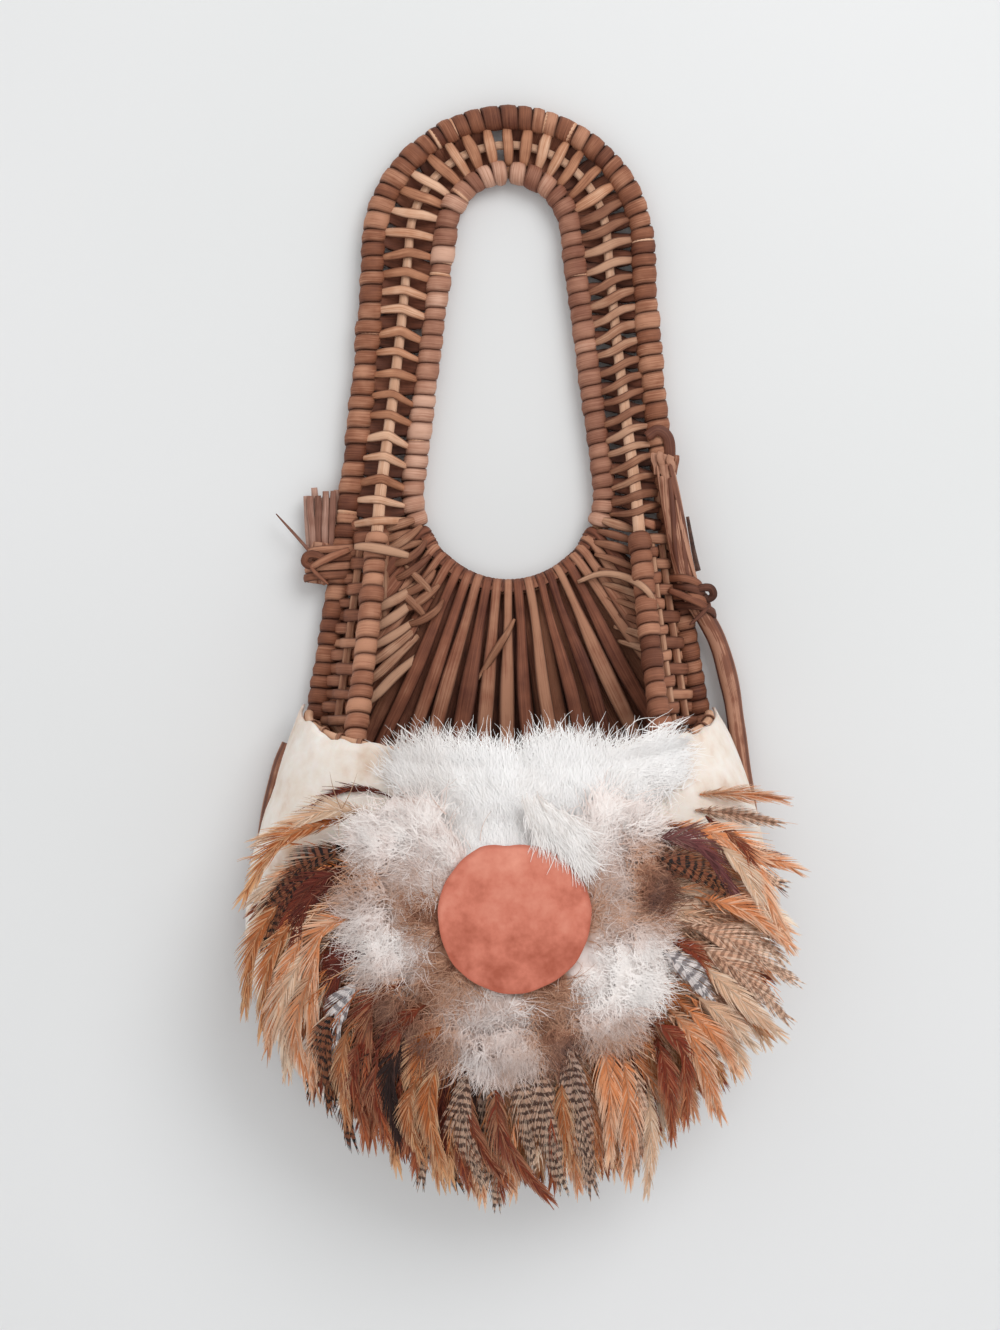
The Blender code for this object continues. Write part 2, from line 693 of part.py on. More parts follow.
def splints(name, end, along, tips, material):
    """The frayed ends that stand on the end of the vine, spread out towards their tips."""
    side = along.cross(FORWARD).normalized()
    for i, tip in enumerate(tips):
        angle = pi - i * tau / len(tips)
        foot = (side * cos(angle) + FORWARD * sin(angle)) * SPLINT_SPREAD
        base = end + foot + along * SEAT
        points = [base, base + along * 0.002, base + tip * 0.5 + foot * 0.4, base + tip + foot * 0.6]
        rod(f"{name}_{i + 1}", points, SPLINT_RADIUS, material, tip=0.45)


def at_level(points, level):
    return min(points, key=lambda p: abs(p.z - level))


def room_round(rod_at, level, radius):
    """The radius that clears a leaning rod over the height of one turn."""
    half = LASHING_WIDTH / 2
    lean = (rod_at(level + half) - rod_at(level - half)).xy.length / LASHING_WIDTH
    return radius * hypot(1, lean) + half * lean


def lashing(side, depth):
    """Stations of turns pulled taut round the wrapped rib and one side of the vine."""
    stations = []
    skin = SEAT + LACE_THICKNESS / 2

    def rib_at(level):
        return Vector((outer_x(level), RIB_PLANE, level))

    def vine_at(level):
        return at_level(side, level)

    count = LASHING_TURNS * 12
    for i in range(count + 1):
        level = -depth + LASHING_PITCH * LASHING_TURNS * (0.5 - i / count)
        angle = tau * i / 12
        out = Vector((cos(angle), sin(angle), 0))
        places = []
        for rod_at, radius in ((rib_at, WRAP_OUTER), (vine_at, VINE_RADIUS)):
            reach = (room_round(rod_at, level, radius) + skin) / cos(pi / 12)
            places.append(rod_at(level) + out * reach)
        place = max(places, key=out.dot)
        stations.append((Vector((place.x, place.y, level)), Vector((0, 0, 1)), out, LASHING_WIDTH))
    return stations


def pouch_skin(name, offset, thickness, lift, material):
    """A shell of the pouch's front: half an ellipsoid cut by the rim plane, then thickened."""
    bm = bmesh.new()
    bmesh.ops.create_uvsphere(bm, u_segments=POUCH_SEGMENTS, v_segments=POUCH_RINGS, radius=1.0)
    for vert in bm.verts:
        vert.co.x *= POUCH_HALF_WIDTH + offset
        vert.co.y = EDGE_PLANE + vert.co.y * (POUCH_BULGE + offset)
        vert.co.z = POUCH_LEVEL + vert.co.z * pouch_height(vert.co.z, offset)
    everything = [*bm.verts, *bm.edges, *bm.faces]
    bmesh.ops.bisect_plane(bm, geom=everything, plane_co=(0, EDGE_PLANE, 0), plane_no=(0, 1, 0),
                           clear_outer=True, dist=1e-6)
    everything = [*bm.verts, *bm.edges, *bm.faces]
    bmesh.ops.bisect_plane(bm, geom=everything, plane_co=(0, EDGE_PLANE, RIM_LEVEL + lift),
                           plane_no=(0, -RIM_SLOPE, 1), clear_outer=True, dist=1e-6)
    obj = add_mesh(name, bm, material)
    solidify = obj.modifiers.new("skin", "SOLIDIFY")
    solidify.thickness = thickness
    solidify.offset = -1.0
    solidify.use_even_offset = True
    return obj


def rim_rod_points(count):
    """Points of the rod that lies on the woven wall's top edge, from corner to corner."""
    wide, deep, high = (size + RIM_ROD_OFFSET for size in
                        (POUCH_HALF_WIDTH, POUCH_BULGE, POUCH_UP))
    rise = POUCH_RISE + (RIM_ROD_RADIUS + SEAT) * hypot(1, RIM_SLOPE)
    points = []
    for i in range(count):
        angle = 0.10 + (pi - 0.20) * i / (count - 1)
        slope = RIM_SLOPE * deep * sin(angle)
        a, b, c = 1 + (slope / high) ** 2, -2 * rise * slope / high**2, (rise / high) ** 2 - 1
        share = (-b + sqrt(b * b - 4 * a * c)) / (2 * a)
        x, depth = wide * share * cos(angle), deep * share * sin(angle)
        points.append(Vector((x, EDGE_PLANE - depth, POUCH_LEVEL + rise - RIM_SLOPE * depth)))
    return points


def build_pouch(bark, wood, rawhide):
    pouch_skin("woven_front", WEAVE_OUTSIDE, WEAVE_THICKNESS, 0.0, bark)
    lift = 2 * (RIM_ROD_RADIUS + SEAT)
    pouch_skin("rawhide_cover", 0.0, RAWHIDE_THICKNESS, lift, rawhide)
    rod("rim_rod", rim_rod_points(24), RIM_ROD_RADIUS, wood)
    offset = WEAVE_INSIDE - 2 * SEAT - POUCH_ROD_RADIUS
    for i in range(POUCH_RODS):
        x = (i - (POUCH_RODS - 1) / 2) * POUCH_ROD_SPACING
        shrink = sqrt(1 - (x / (POUCH_HALF_WIDTH + offset)) ** 2)
        deep, up = (POUCH_BULGE + offset) * shrink, pouch_height(1, offset) * shrink
        top = asin((POUCH_RISE - 0.002) / hypot(up, RIM_SLOPE * deep)) - atan2(RIM_SLOPE * deep, up)
        points = []
        for step in range(12):
            angle = top + (radians(-80) - top) * step / 11
            high = pouch_height(angle, offset) * shrink
            points.append(Vector((x, EDGE_PLANE - deep * cos(angle), POUCH_LEVEL + high * sin(angle))))
        rod(f"pouch_rod_{i + 1}", points, POUCH_ROD_RADIUS, wood)


# Feather rows, down, fur and the disc, as slabs between two surfaces over the pouch

def polar(radius, angle):
    return DISC_CENTRE.x + radius * cos(angle), DISC_CENTRE.z + radius * sin(angle)


def feather_depth(x, z):
    """The smooth surface on which the outer feathers lie, in front of the edge plane."""
    away = hypot(x - DISC_CENTRE.x, z - DISC_CENTRE.z) / FEATHER_SPREAD
    crest = dome_depth(DISC_CENTRE.x, DISC_CENTRE.z) + FEATHER_LIFT
    return crest * sqrt(1 - min(away, 0.98) ** 2)


def hide_depth(x, z):
    return dome_depth(x, z) + 2 * SEAT


def slab(name, columns, rows, place, front, back, material):
    """A solid over the pouch: place(i, j) gives (x, z, share) and front and back its depths."""
    bm = bmesh.new()
    bmesh.ops.create_grid(bm, x_segments=columns, y_segments=rows, size=0.5)
    spots = {}
    for vert in bm.verts:
        i, j = round((vert.co.x + 0.5) * columns), round((vert.co.y + 0.5) * rows)
        spots[vert] = (i, j)
    ordered = sorted(spots.items(), key=lambda item: item[1])
    grown = bmesh.ops.extrude_face_region(bm, geom=list(bm.faces), use_keep_orig=True)
    copies = [v for v in grown["geom"] if isinstance(v, bmesh.types.BMVert)]
    by_place = {}
    for vert in copies:
        key = (round((vert.co.x + 0.5) * columns), round((vert.co.y + 0.5) * rows))
        by_place[key] = vert
    for vert, key in ordered:
        x, z, share = place(*key)
        vert.co = (x, EDGE_PLANE - front(x, z, share, key[0]), z)
        by_place[key].co = (x, EDGE_PLANE - back(x, z, share), z)
    return add_mesh(name, bm, material)


def row_of_feathers(name, feathers, start, reach, notch, front, back, material, rows=4):
    """A row as a strip hung round the disc: each feather is four columns with its own tip."""
    columns = feathers * 4

    def place(i, j):
        share = j / rows
        saw = 1 - abs((i % 4) / 2 - 1)
        angle = ROW_LEFT + (ROW_RIGHT - ROW_LEFT) * i / columns
        fall = FEATHER_FALL * max(-sin(angle), 0.0) ** 2
        length = (reach + fall - start) * (1 - notch * (1 - saw)) * share
        angle -= FEATHER_DROOP * share * cos(angle)
        return *polar(start + length, angle), share

    def ridged(x, z, share, i):
        saw = 1 - abs((i % 4) / 2 - 1)
        return front(x, z, share) + FEATHER_RIDGE * saw * min(2 * share, 1.0)

    slab(name, columns, rows, place, ridged, back, material)


def build_rows(feather, down):
    def outer_front(x, z, share):
        return feather_depth(x, z)

    def outer_back(x, z, share):
        thickness = OUTER_ROW_THICKNESS + (0.0012 - OUTER_ROW_THICKNESS) * share
        return max(hide_depth(x, z), feather_depth(x, z) - thickness)

    row_of_feathers("outer_feather_row", OUTER_FEATHERS, OUTER_ROW_START, FEATHER_REACH, 0.22,
                    outer_front, outer_back, feather)

    lift = FEATHER_RIDGE + ROW_GAP
    row_of_feathers("middle_feather_row", MIDDLE_FEATHERS, MIDDLE_ROW_START, MIDDLE_ROW_REACH, 0.25,
                    lambda x, z, share: feather_depth(x, z) + lift + MIDDLE_ROW_THICKNESS,
                    lambda x, z, share: feather_depth(x, z) + lift, feather, rows=3)

    lift += MIDDLE_ROW_THICKNESS + FEATHER_RIDGE + ROW_GAP
    row_of_feathers("down_row", DOWN_TUFTS, DOWN_ROW_START, DOWN_ROW_REACH, 0.3,
                    lambda x, z, share: feather_depth(x, z) + lift + DOWN_ROW_THICKNESS,
                    lambda x, z, share: feather_depth(x, z) + lift, down, rows=3)
    return lift + DOWN_ROW_THICKNESS + ROW_GAP


def build_disc(lift, leather):
    """The round leather disc with its flattened top, dished over the down."""
    bm = bmesh.new()
    bmesh.ops.create_circle(bm, cap_ends=True, cap_tris=True, segments=32, radius=DISC_RADIUS)
    flat = 0.93 * DISC_RADIUS
    for vert in bm.verts:
        x, z = vert.co.x + DISC_CENTRE.x, min(vert.co.y, flat) + DISC_CENTRE.z
        vert.co = (x, EDGE_PLANE - feather_depth(x, z) - lift, z)
    grown = bmesh.ops.extrude_face_region(bm, geom=list(bm.faces), use_keep_orig=True)
    verts = [v for v in grown["geom"] if isinstance(v, bmesh.types.BMVert)]
    bmesh.ops.translate(bm, verts=verts, vec=FORWARD * DISC_THICKNESS)
    add_mesh("leather_disc", bm, leather)


def build_fur(fur):
    """The rabbit fur: a soft pad over the top of the pouch, from the rim to the disc."""
    columns, rows = 14, 5

    def place(i, j):
        share = j / rows
        spread = FUR_FOOT + (FUR_TOP - FUR_FOOT) * share
        angle = pi / 2 + spread * (2 * i / columns - 1)
        inner = DISC_RADIUS + 2 * SEAT
        outer = inner
        x, z = polar(outer, pi / 2 + FUR_TOP * (2 * i / columns - 1))
        while z < rim_level(dome_depth(x, z)) - 0.002:
            outer += 0.0005
            x, z = polar(outer, pi / 2 + FUR_TOP * (2 * i / columns - 1))
        return *polar(inner + (outer - inner) * share, angle), share

    def front(x, z, share, i):
        puff = sin(pi * (0.08 + 0.84 * share)) * sin(pi * (0.06 + 0.88 * i / columns))
        lumps = 0.0012 * sin(i * 2.4) * sin(share * 9)
        return hide_depth(x, z) + 0.002 + (FUR_THICKNESS - 0.002) * puff**0.6 + lumps * puff

    slab("fur_pad", columns, rows, place, front, lambda x, z, share: hide_depth(x, z), fur)


def build_single_feather(name, root, angle, length, width, bend, material):
    """One feather by itself on the rawhide: a thin bent leaf.

    root is the distance aside and above the pouch's centre.
    """
    rows = 6
    foot = (root[0], POUCH_LEVEL + root[1])

    def place(i, j):
        share = j / rows
        heading = angle + bend * share
        half = width / 2 * sin(pi * min(0.06 + 0.90 * share, 1.0)) ** 0.7 * (i - 1)
        x = foot[0] + length * share * cos(heading) - half * sin(heading)
        z = foot[1] + length * share * sin(heading) + half * cos(heading)
        return x, z, share

    def back(x, z, share):
        return max(hide_depth(x, z), hide_depth(*foot) * (1 - 0.9 * share))

    def front(x, z, share, i):
        return back(x, z, share) + VANE_THICKNESS * (1 + (i == 1))

    slab(name, 2, rows, place, front, back, material)


def build():
    clear_scene()
    bark = make_material("bark_strip", (0.29, 0.125, 0.066), 0.75)
    light_bark = make_material("light_bark_strip", (0.42, 0.225, 0.125), 0.7)
    wood = make_material("cane_rod", (0.35, 0.17, 0.09), 0.7)
    light_wood = make_material("peeled_cane", (0.56, 0.36, 0.2), 0.65)
    vine_wood = make_material("vine", (0.33, 0.13, 0.06), 0.7)
    rawhide = make_material("rawhide", (0.78, 0.68, 0.57), 0.6)
    leather = make_material("copper_leather", (0.56, 0.2, 0.12), 0.55)
    fur = make_material("rabbit_fur", (0.82, 0.8, 0.78), 0.9)
    feather = make_material("hackle_feather", (0.33, 0.12, 0.035), 0.7)
    down = make_material("feather_down", (0.52, 0.45, 0.4), 0.9)

    inner, outer, middle = build_ribs(wood, light_wood)
    build_wraps(inner, outer, middle, bark)
    build_lacing(inner, outer, middle, light_bark, bark)
    fan_rod = build_fan(inner, outer, bark)
    build_back_panel(fan_rod, bark)
    build_vine(vine_wood, bark)
    build_pouch(bark, wood, rawhide)
    top = build_rows(feather, down)
    build_disc(top, leather)
    build_fur(fur)
    build_single_feather("right_rust_feather", (RUST_FEATHER_ASIDE, RUST_FEATHER_RISE), radians(4),
                         RUST_FEATHER_LENGTH, RUST_FEATHER_WIDTH, -0.1, feather)
    build_single_feather("left_quill_feather", (-QUILL_ASIDE, QUILL_RISE), radians(150),
                         QUILL_LENGTH, QUILL_WIDTH, 0.9, feather)


build()
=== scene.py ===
"""Looks of the feathered wall basket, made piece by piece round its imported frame.

Units are metres, +Z is up, +Y points into the wall and the front faces -Y.
"""

import logging
from dataclasses import dataclass, field
from enum import Enum
from math import asin, pi, radians, sqrt, tau
from typing import Callable, Sequence

import bmesh
import bpy
import mathutils
import numpy as np
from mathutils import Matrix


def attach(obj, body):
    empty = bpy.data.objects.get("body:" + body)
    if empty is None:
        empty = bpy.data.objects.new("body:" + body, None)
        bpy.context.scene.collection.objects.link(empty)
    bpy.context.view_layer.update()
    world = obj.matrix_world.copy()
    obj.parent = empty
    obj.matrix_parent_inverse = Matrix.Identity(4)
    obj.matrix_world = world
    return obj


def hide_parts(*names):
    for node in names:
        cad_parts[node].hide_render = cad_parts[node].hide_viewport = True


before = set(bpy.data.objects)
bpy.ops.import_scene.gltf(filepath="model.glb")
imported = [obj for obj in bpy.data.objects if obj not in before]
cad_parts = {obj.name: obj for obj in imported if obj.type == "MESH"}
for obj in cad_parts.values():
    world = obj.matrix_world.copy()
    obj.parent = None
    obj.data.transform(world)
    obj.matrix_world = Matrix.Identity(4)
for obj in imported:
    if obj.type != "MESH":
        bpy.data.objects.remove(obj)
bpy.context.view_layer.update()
LOG = logging.getLogger("feathered_basket")

Array = np.ndarray
# Puts flat points at their height, from their shares along and their distances across
Lift = Callable[[Array, Array, Array], Array]
MM = 0.001
FRONT = np.array((0.0, -1.0, 0.0))
UP = np.array((0.0, 0.0, 1.0))

# A split strip's section: a flat underside and a crowned face, closed on itself
SECTION = np.array(((-0.5, -0.10), (-0.42, 0.30), (0.0, 0.50), (0.42, 0.30), (0.5, -0.10),
                    (0.36, -0.45), (0.0, -0.50), (-0.36, -0.45), (-0.5, -0.10)))
# Painted light and shade on rods: how much lighter a rod's ridges, and darker its grooves, are than its
# middle tone
PAINTED_RIDGE_SHADE = 0.35
# How far along the grain the underside's fibres lie from the face's
UNDERSIDE = 20 * MM
# Stations for each turn of a winding, and steps along a feather's shaft
TURN_STATIONS = 16
SHAFT_STEPS = 40


# Arithmetic on rows of points

def unit(vectors: Array) -> Array:
    """The vectors at length one."""
    return vectors / np.maximum(np.linalg.norm(vectors, axis=-1, keepdims=True), 1e-12)


def mix(low: Array, high: Array, share: Array) -> Array:
    """The values at a share of the way from low to high."""
    return low + (high - low) * share


def smooth_step(value: Array, low: float, high: float) -> Array:
    """0 below low and 1 above high, with a smooth ramp between them."""
    share = np.clip((value - low) / (high - low), 0.0, 1.0)
    return share * share * (3 - 2 * share)


def mirrored(points: Array) -> Array:
    """The points on the other side of the basket's middle plane."""
    return points * np.array((-1.0, 1.0, 1.0))


def joined(*parts: Array | float) -> Array:
    """Coordinates put together as points, each of them an array or one number for all."""
    return np.stack(np.broadcast_arrays(*parts), -1)


def run_along(points: Array) -> Array:
    """Each point's distance from the first one, along the line through them."""
    return np.concatenate(((0.0,), np.cumsum(np.linalg.norm(np.diff(points, axis=0), axis=1))))


def around(tangent: Array, angle: Array) -> Array:
    """Directions square to a line, turned round it from its side by way of the front."""
    side = unit(np.cross(FRONT, tangent))
    return side * np.cos(angle) + np.cross(tangent, side) * np.sin(angle)


def headings(angle: Array) -> Array:
    """Flat directions at angles from the right."""
    return joined(np.cos(angle), np.sin(angle))


def line_at(line: Array, share: Array) -> Array:
    """Places on the flat at shares along a line."""
    places = np.linspace(0, 1, len(line))
    return joined(np.interp(share, places, line[:, 0]), np.interp(share, places, line[:, 1]))


def smooth_through(controls: Sequence[Array], steps: int = 8) -> Array:
    """A Catmull-Rom curve through a few points.

    Args:
        controls: the points that the curve passes through.
        steps: how many points stand for each stretch between two of them.

    Returns:
        The curve's points, one row each.
    """
    given = np.asarray(controls, float)
    padded = np.vstack((2 * given[0] - given[1], given, 2 * given[-1] - given[-2]))
    t = (np.arange(steps) / steps)[:, None]
    stretches = []
    for a, b, c, d in zip(padded, padded[1:], padded[2:], padded[3:]):
        bend = (c - a) * t + (2 * a - 5 * b + 4 * c - d) * t**2
        stretches.append(b + (bend + (3 * b - a - 3 * c + d) * t**3) / 2)
    return np.vstack((*stretches, given[-1:]))


def places_from(base: Array, spots: Sequence[Sequence[float]], way: float = 1.0) -> list[Array]:
    """Places at offsets in millimetres from a point, on its other side where way is -1."""
    return [base + np.array((x * way, y, z)) * MM for x, y, z in spots]


class Spine:
    """A centre line through close points, read by the distance along it."""

    # Half the stretch over which the line's direction is taken
    reach = 0.0015

    def __init__(self, points: Array, closed: bool = False) -> None:
        """Measures the line.

        Args:
            points: one row for each point.
            closed: whether the line runs back to its first point.
        """
        rows = np.asarray(points, float)
        self.points = np.vstack((rows, rows[:1])) if closed else rows
        self.closed = closed
        self.marks = run_along(self.points)
        self.length = float(self.marks[-1])

    def at(self, distance: Array) -> Array:
        """The points at distances along the line."""
        reach = np.mod(distance, self.length) if self.closed else distance
        return np.stack([np.interp(reach, self.marks, self.points[:, i]) for i in range(3)], -1)

    def tangent(self, distance: Array) -> Array:
        """The line's directions at distances along it."""
        return unit(self.at(distance + self.reach) - self.at(distance - self.reach))

    def distance_near(self, point: Array) -> float:
        """The distance along the line at which it passes closest to a point."""
        return float(self.marks[np.argmin(np.linalg.norm(self.points - point, axis=1))])

    def nearest(self, points: Array) -> Array:
        """The line's own points that lie closest to the given ones."""
        away = np.linalg.norm(self.points[None] - points[:, None], axis=2)
        return self.points[np.argmin(away, axis=1)]

    def part(self, start: float, end: float, count: int) -> Array:
        """Evenly spaced points between two distances along the line."""
        return self.at(np.linspace(start, end, count))


# The basket's driving sizes and centre lines

@dataclass(frozen=True)
class Plan:
    """The sizes that the basket's frame was built to."""

    rod_radius: float = 0.0026
    wrap_outer: float = 0.00475
    wall_gap: float = 0.0005
    hole_top_radius: float = 0.0213
    hole_bottom_radius: float = 0.0353
    hole_centres_apart: float = 0.108
    crown_band: float = 0.023
    side_band: float = 0.0305
    limb_flare: float = 0.023
    flare_power: float = 1.4
    forward_power: float = 2.2
    rim_depth: float = 0.222
    rim_slope: float = 0.29
    pouch_half_width: float = 0.109
    pouch_up: float = 0.150
    pouch_down: float = 0.098
    pouch_rise: float = 0.088
    pouch_bulge: float = 0.076
    rib_half_span: float = 0.062
    rib_offset: float = -0.0114
    rib_tuck: float = 0.018
    outer_tuck: float = 0.010
    fan_rod_drop: float = 0.004
    fan_rod_sag: float = 0.038
    vine_radius: float = 0.0042
    vine_inset: float = 0.0045
    disc_aside: float = 0.002
    disc_rise: float = 0.013
    disc_radius: float = 0.029
    feather_spread: float = 0.130
    feather_lift: float = 0.0045
    # Beyond this share of its spread the feathers' surface runs on straight
    feather_bend: float = 0.9
    # The left side's shrunken corner: its pull, height, reach up and down, and depth
    corner_pull_in: float = 4.2 * MM
    corner_level: float = -252 * MM
    corner_reach: float = 24 * MM
    corner_depth: float = 26 * MM

    # Where the handle's rods lie in front of the wall, the pouch's back edge and the vine behind it
    rib_plane: float = -wrap_outer - wall_gap
    edge_plane: float = rib_plane - wrap_outer - MM
    vine_plane: float = edge_plane + 0.3 * MM + vine_radius
    # The inner rib's radii at the crown and round the hole's foot, the outer rib's over the crown
    inner_top: float = hole_top_radius + wrap_outer
    inner_bottom: float = hole_bottom_radius + wrap_outer
    outer_radius: float = inner_top + side_band
    # The rim's height at the back edge and the height at which the pouch is widest
    rim_level: float = -rim_depth
    pouch_level: float = rim_level - pouch_rise
    disc_centre: tuple[float, float] = (disc_aside, pouch_level + disc_rise)

    @property
    def hole_top(self) -> Array:
        """The centre of the hand hole's upper circle."""
        return np.array((0.0, self.rib_plane, -self.hole_top_radius))

    @property
    def hole_bottom(self) -> Array:
        """The centre of the hand hole's lower circle."""
        return self.hole_top - UP * self.hole_centres_apart

    @property
    def outer_centre(self) -> Array:
        """The centre of the outer rib's arch."""
        return np.array((0.0, self.rib_plane, self.wrap_outer + self.crown_band - self.outer_radius))

    def outer_x(self, level: Array) -> Array:
        """Half the distance between the outer rib's limbs at a height."""
        top = self.outer_centre[2]
        arch = np.sqrt(np.maximum(self.outer_radius**2 - (level - top) ** 2, 0.0))
        share = np.clip((top - level) / (top - self.rim_level), 0.0, None)
        limb = self.outer_radius + self.limb_flare * share**self.flare_power
        return np.where(level >= top, arch, limb)

    def inner_x(self, level: Array) -> Array:
        """Half the distance between the inner rib's sides at a height."""
        share = np.clip((self.hole_top[2] - level) / self.hole_centres_apart, 0.0, 1.0)
        return mix(self.inner_top, self.inner_bottom, share)

    def dome_depth(self, x: Array, z: Array, offset: float = 0.0) -> Array:
        """How far the pouch's front, grown by offset, stands out from its edge plane."""
        above = np.asarray(z) - self.pouch_level
        high = np.where(above > 0, self.pouch_up, self.pouch_down) + offset
        across = np.asarray(x) / (self.pouch_half_width + offset)
        inside = np.maximum(1 - across**2 - (above / high) ** 2, 0.0)
        return (self.pouch_bulge + offset) * np.sqrt(inside)

    def rim_at(self, depth: Array) -> Array:
        """The rim plane's height at a depth in front of the pouch's edge plane."""
        return self.rim_level - self.rim_slope * depth

    def feather_depth(self, x: Array, z: Array) -> Array:
        """The smooth surface that the feathers lie on, in front of the edge plane."""
        aside, level = self.disc_centre
        away = np.hypot(x - aside, z - level) / self.feather_spread
        crest = self.dome_depth(aside, level) + self.feather_lift
        bend = self.feather_bend
        fall = bend / sqrt(1 - bend**2)
        return crest * (np.sqrt(1 - np.minimum(away, bend) ** 2) - fall * np.maximum(away - bend, 0.0))

    def corner_pull(self, points: Array) -> Array:
        """How far the pouch's left side has shrunk in towards the middle, at points of it."""
        near = np.exp(-((points[:, 2] - self.corner_level) / self.corner_reach) ** 2)
        depth = self.edge_plane - points[:, 1]
        pull = self.corner_pull_in * near * (points[:, 0] < 0)
        return pull * np.clip(1 - depth / self.corner_depth, 0.0, 1.0)


PLAN = Plan()


def arc(centre: Array, radius: float, angles: Array) -> Array:
    """Points on an upright circle, facing the front."""
    return centre + radius * joined(np.cos(angles), 0.0, np.sin(angles))


class Rods:
    """The centre lines of every rod that the basket is woven on."""

    def __init__(self) -> None:
        """Works out the lines."""
        self.rim = self._rib_at_rim()
        self.inner = self._inner()
        self.outer = self._outer()
        self.middle = self._middle()
        self.fan_rod = self._fan_rod()
        self.vine = self._vine()
        self.left_tail = self._left_tail()

    def _rib_at_rim(self) -> Array:
        """Where the right middle rib passes the rim."""
        depth = 0.0
        for _ in range(40):
            depth = float(PLAN.dome_depth(PLAN.rib_half_span, PLAN.rim_at(depth), PLAN.rib_offset))
        return np.array((PLAN.rib_half_span, PLAN.edge_plane - depth, PLAN.rim_at(depth)))

    def _inner(self) -> Spine:
        """The closed inner rib, clockwise from the crown."""
        lean = asin((PLAN.inner_bottom - PLAN.inner_top) / PLAN.hole_centres_apart)
        top = arc(PLAN.hole_top, PLAN.inner_top, np.linspace(pi / 2, lean, 60))
        low = arc(PLAN.hole_bottom, PLAN.inner_bottom, np.linspace(lean, -pi / 2, 80))
        side = mix(top[-1], low[0], np.linspace(0, 1, 42)[1:-1, None])
        right = np.vstack((top, side, low))
        return Spine(np.vstack((right, mirrored(right[-2:0:-1]))), closed=True)

    def _outer(self) -> Spine:
        """The outer rib from its left end over the crown to its right end."""
        crown = arc(PLAN.outer_centre, PLAN.outer_radius, np.linspace(pi, 0, 121))
        levels = np.linspace(PLAN.outer_centre[2], PLAN.rim_level - PLAN.outer_tuck, 81)[1:]
        limb = joined(PLAN.outer_x(levels), PLAN.rib_plane, levels)
        return Spine(np.vstack((mirrored(limb[::-1]), crown, limb)))

    def middle_at(self, level: Array) -> Array:
        """The right middle rib's points at heights below the crown."""
        rim = self.rim
        level = np.asarray(level, float)
        start = (PLAN.hole_top[2] + PLAN.outer_centre[2]) / 2
        bottom = PLAN.hole_bottom[2]
        top_inset = (PLAN.outer_x(bottom) - PLAN.inner_x(bottom)) / 2
        share = np.clip((bottom - level) / (bottom - rim[2]), 0.0, None)
        low_inset = mix(top_inset, PLAN.outer_x(rim[2]) - rim[0], share)
        inset = np.where(level < bottom, low_inset,
                         (PLAN.outer_x(level) - PLAN.inner_x(level)) / 2)
        rise = np.clip((start - level) / (start - rim[2]), 0.0, None)
        forward = (PLAN.rib_plane - rim[1]) * rise**PLAN.forward_power
        tucked = PLAN.edge_plane - PLAN.dome_depth(rim[0], level, PLAN.rib_offset)
        below = level < rim[2]
        x = np.where(below, rim[0], PLAN.outer_x(level) - inset)
        y = np.where(below, tucked, PLAN.rib_plane - forward)
        return joined(x, y, level)

    def _middle(self) -> Spine:
        """The middle rib from its left tucked end over the crown to its right one."""
        start = (PLAN.hole_top[2] + PLAN.outer_centre[2]) / 2
        angles = np.linspace(pi, 0, 121)
        crown = mix(arc(PLAN.hole_top, PLAN.inner_top, angles),
                    arc(PLAN.outer_centre, PLAN.outer_radius, angles), 0.5)
        limb = self.middle_at(np.linspace(start, self.rim[2] - PLAN.rib_tuck, 101)[2:])
        return Spine(np.vstack((mirrored(limb[::-1]), crown, limb)))

    def _fan_rod(self) -> Spine:
        """The cross rod that carries the fan's lower ends."""
        level = PLAN.rim_level - PLAN.fan_rod_drop
        half = float(PLAN.outer_x(level)) - PLAN.wrap_outer - PLAN.rod_radius
        radius = (half**2 + PLAN.fan_rod_sag**2) / (2 * PLAN.fan_rod_sag)
        centre = np.array((0.0, PLAN.rib_plane, level - PLAN.fan_rod_sag + radius))
        end = asin(half / radius)
        return Spine(arc(centre, radius, np.linspace(-pi / 2 - end, -pi / 2 + end, 121)))

    def _beside_rib(self, depth: float, share: float) -> Array:
        """A place by the right outer rib, at a share of the two rods' distance aside."""
        reach = PLAN.wrap_outer + PLAN.vine_radius + 0.3 * MM
        side = share * reach
        forward = max(sqrt(max(reach**2 - side**2, 0.0)), PLAN.rib_plane - PLAN.vine_plane)
        return np.array((PLAN.outer_x(-depth) + side, PLAN.rib_plane - forward, -depth))

    def _beside_pouch(self, below_rim: float, stand_off: float) -> Array:
        """A place on the right, at a distance outside the pouch's outline."""
        level = PLAN.rim_level - below_rim
        shrink = sqrt(1 - ((level - PLAN.pouch_level) / PLAN.pouch_up) ** 2)
        return np.array((PLAN.pouch_half_width * shrink + stand_off, PLAN.vine_plane, level))

    def _vine(self) -> Spine:
        """The hoop from its left end, round under the pouch, to its right tail's tip."""
        right_gaps = ((0.209, 1.62), (0.190, 1.35), (0.172, 0.52),
                      (0.157, 0.25), (0.137, 0.15), (0.118, 0.10))
        left = [mirrored(self._beside_pouch(drop, -3.5 * MM)) for drop in (12.5 * MM, 25 * MM)]
        right = [self._beside_pouch(5 * MM, 4.5 * MM),
                 *(self._beside_rib(*gap) for gap in right_gaps)]
        wide = PLAN.pouch_half_width - PLAN.vine_inset
        hoop = []
        for angle in np.radians(np.linspace(166, 374, 19)):
            high = (PLAN.pouch_up if np.sin(angle) > 0 else PLAN.pouch_down) - PLAN.vine_inset
            level = PLAN.pouch_level + high * np.sin(angle)
            hoop.append(np.array((wide * np.cos(angle), PLAN.vine_plane, level)))
        return Spine(smooth_through([*left, *hoop, *right]))

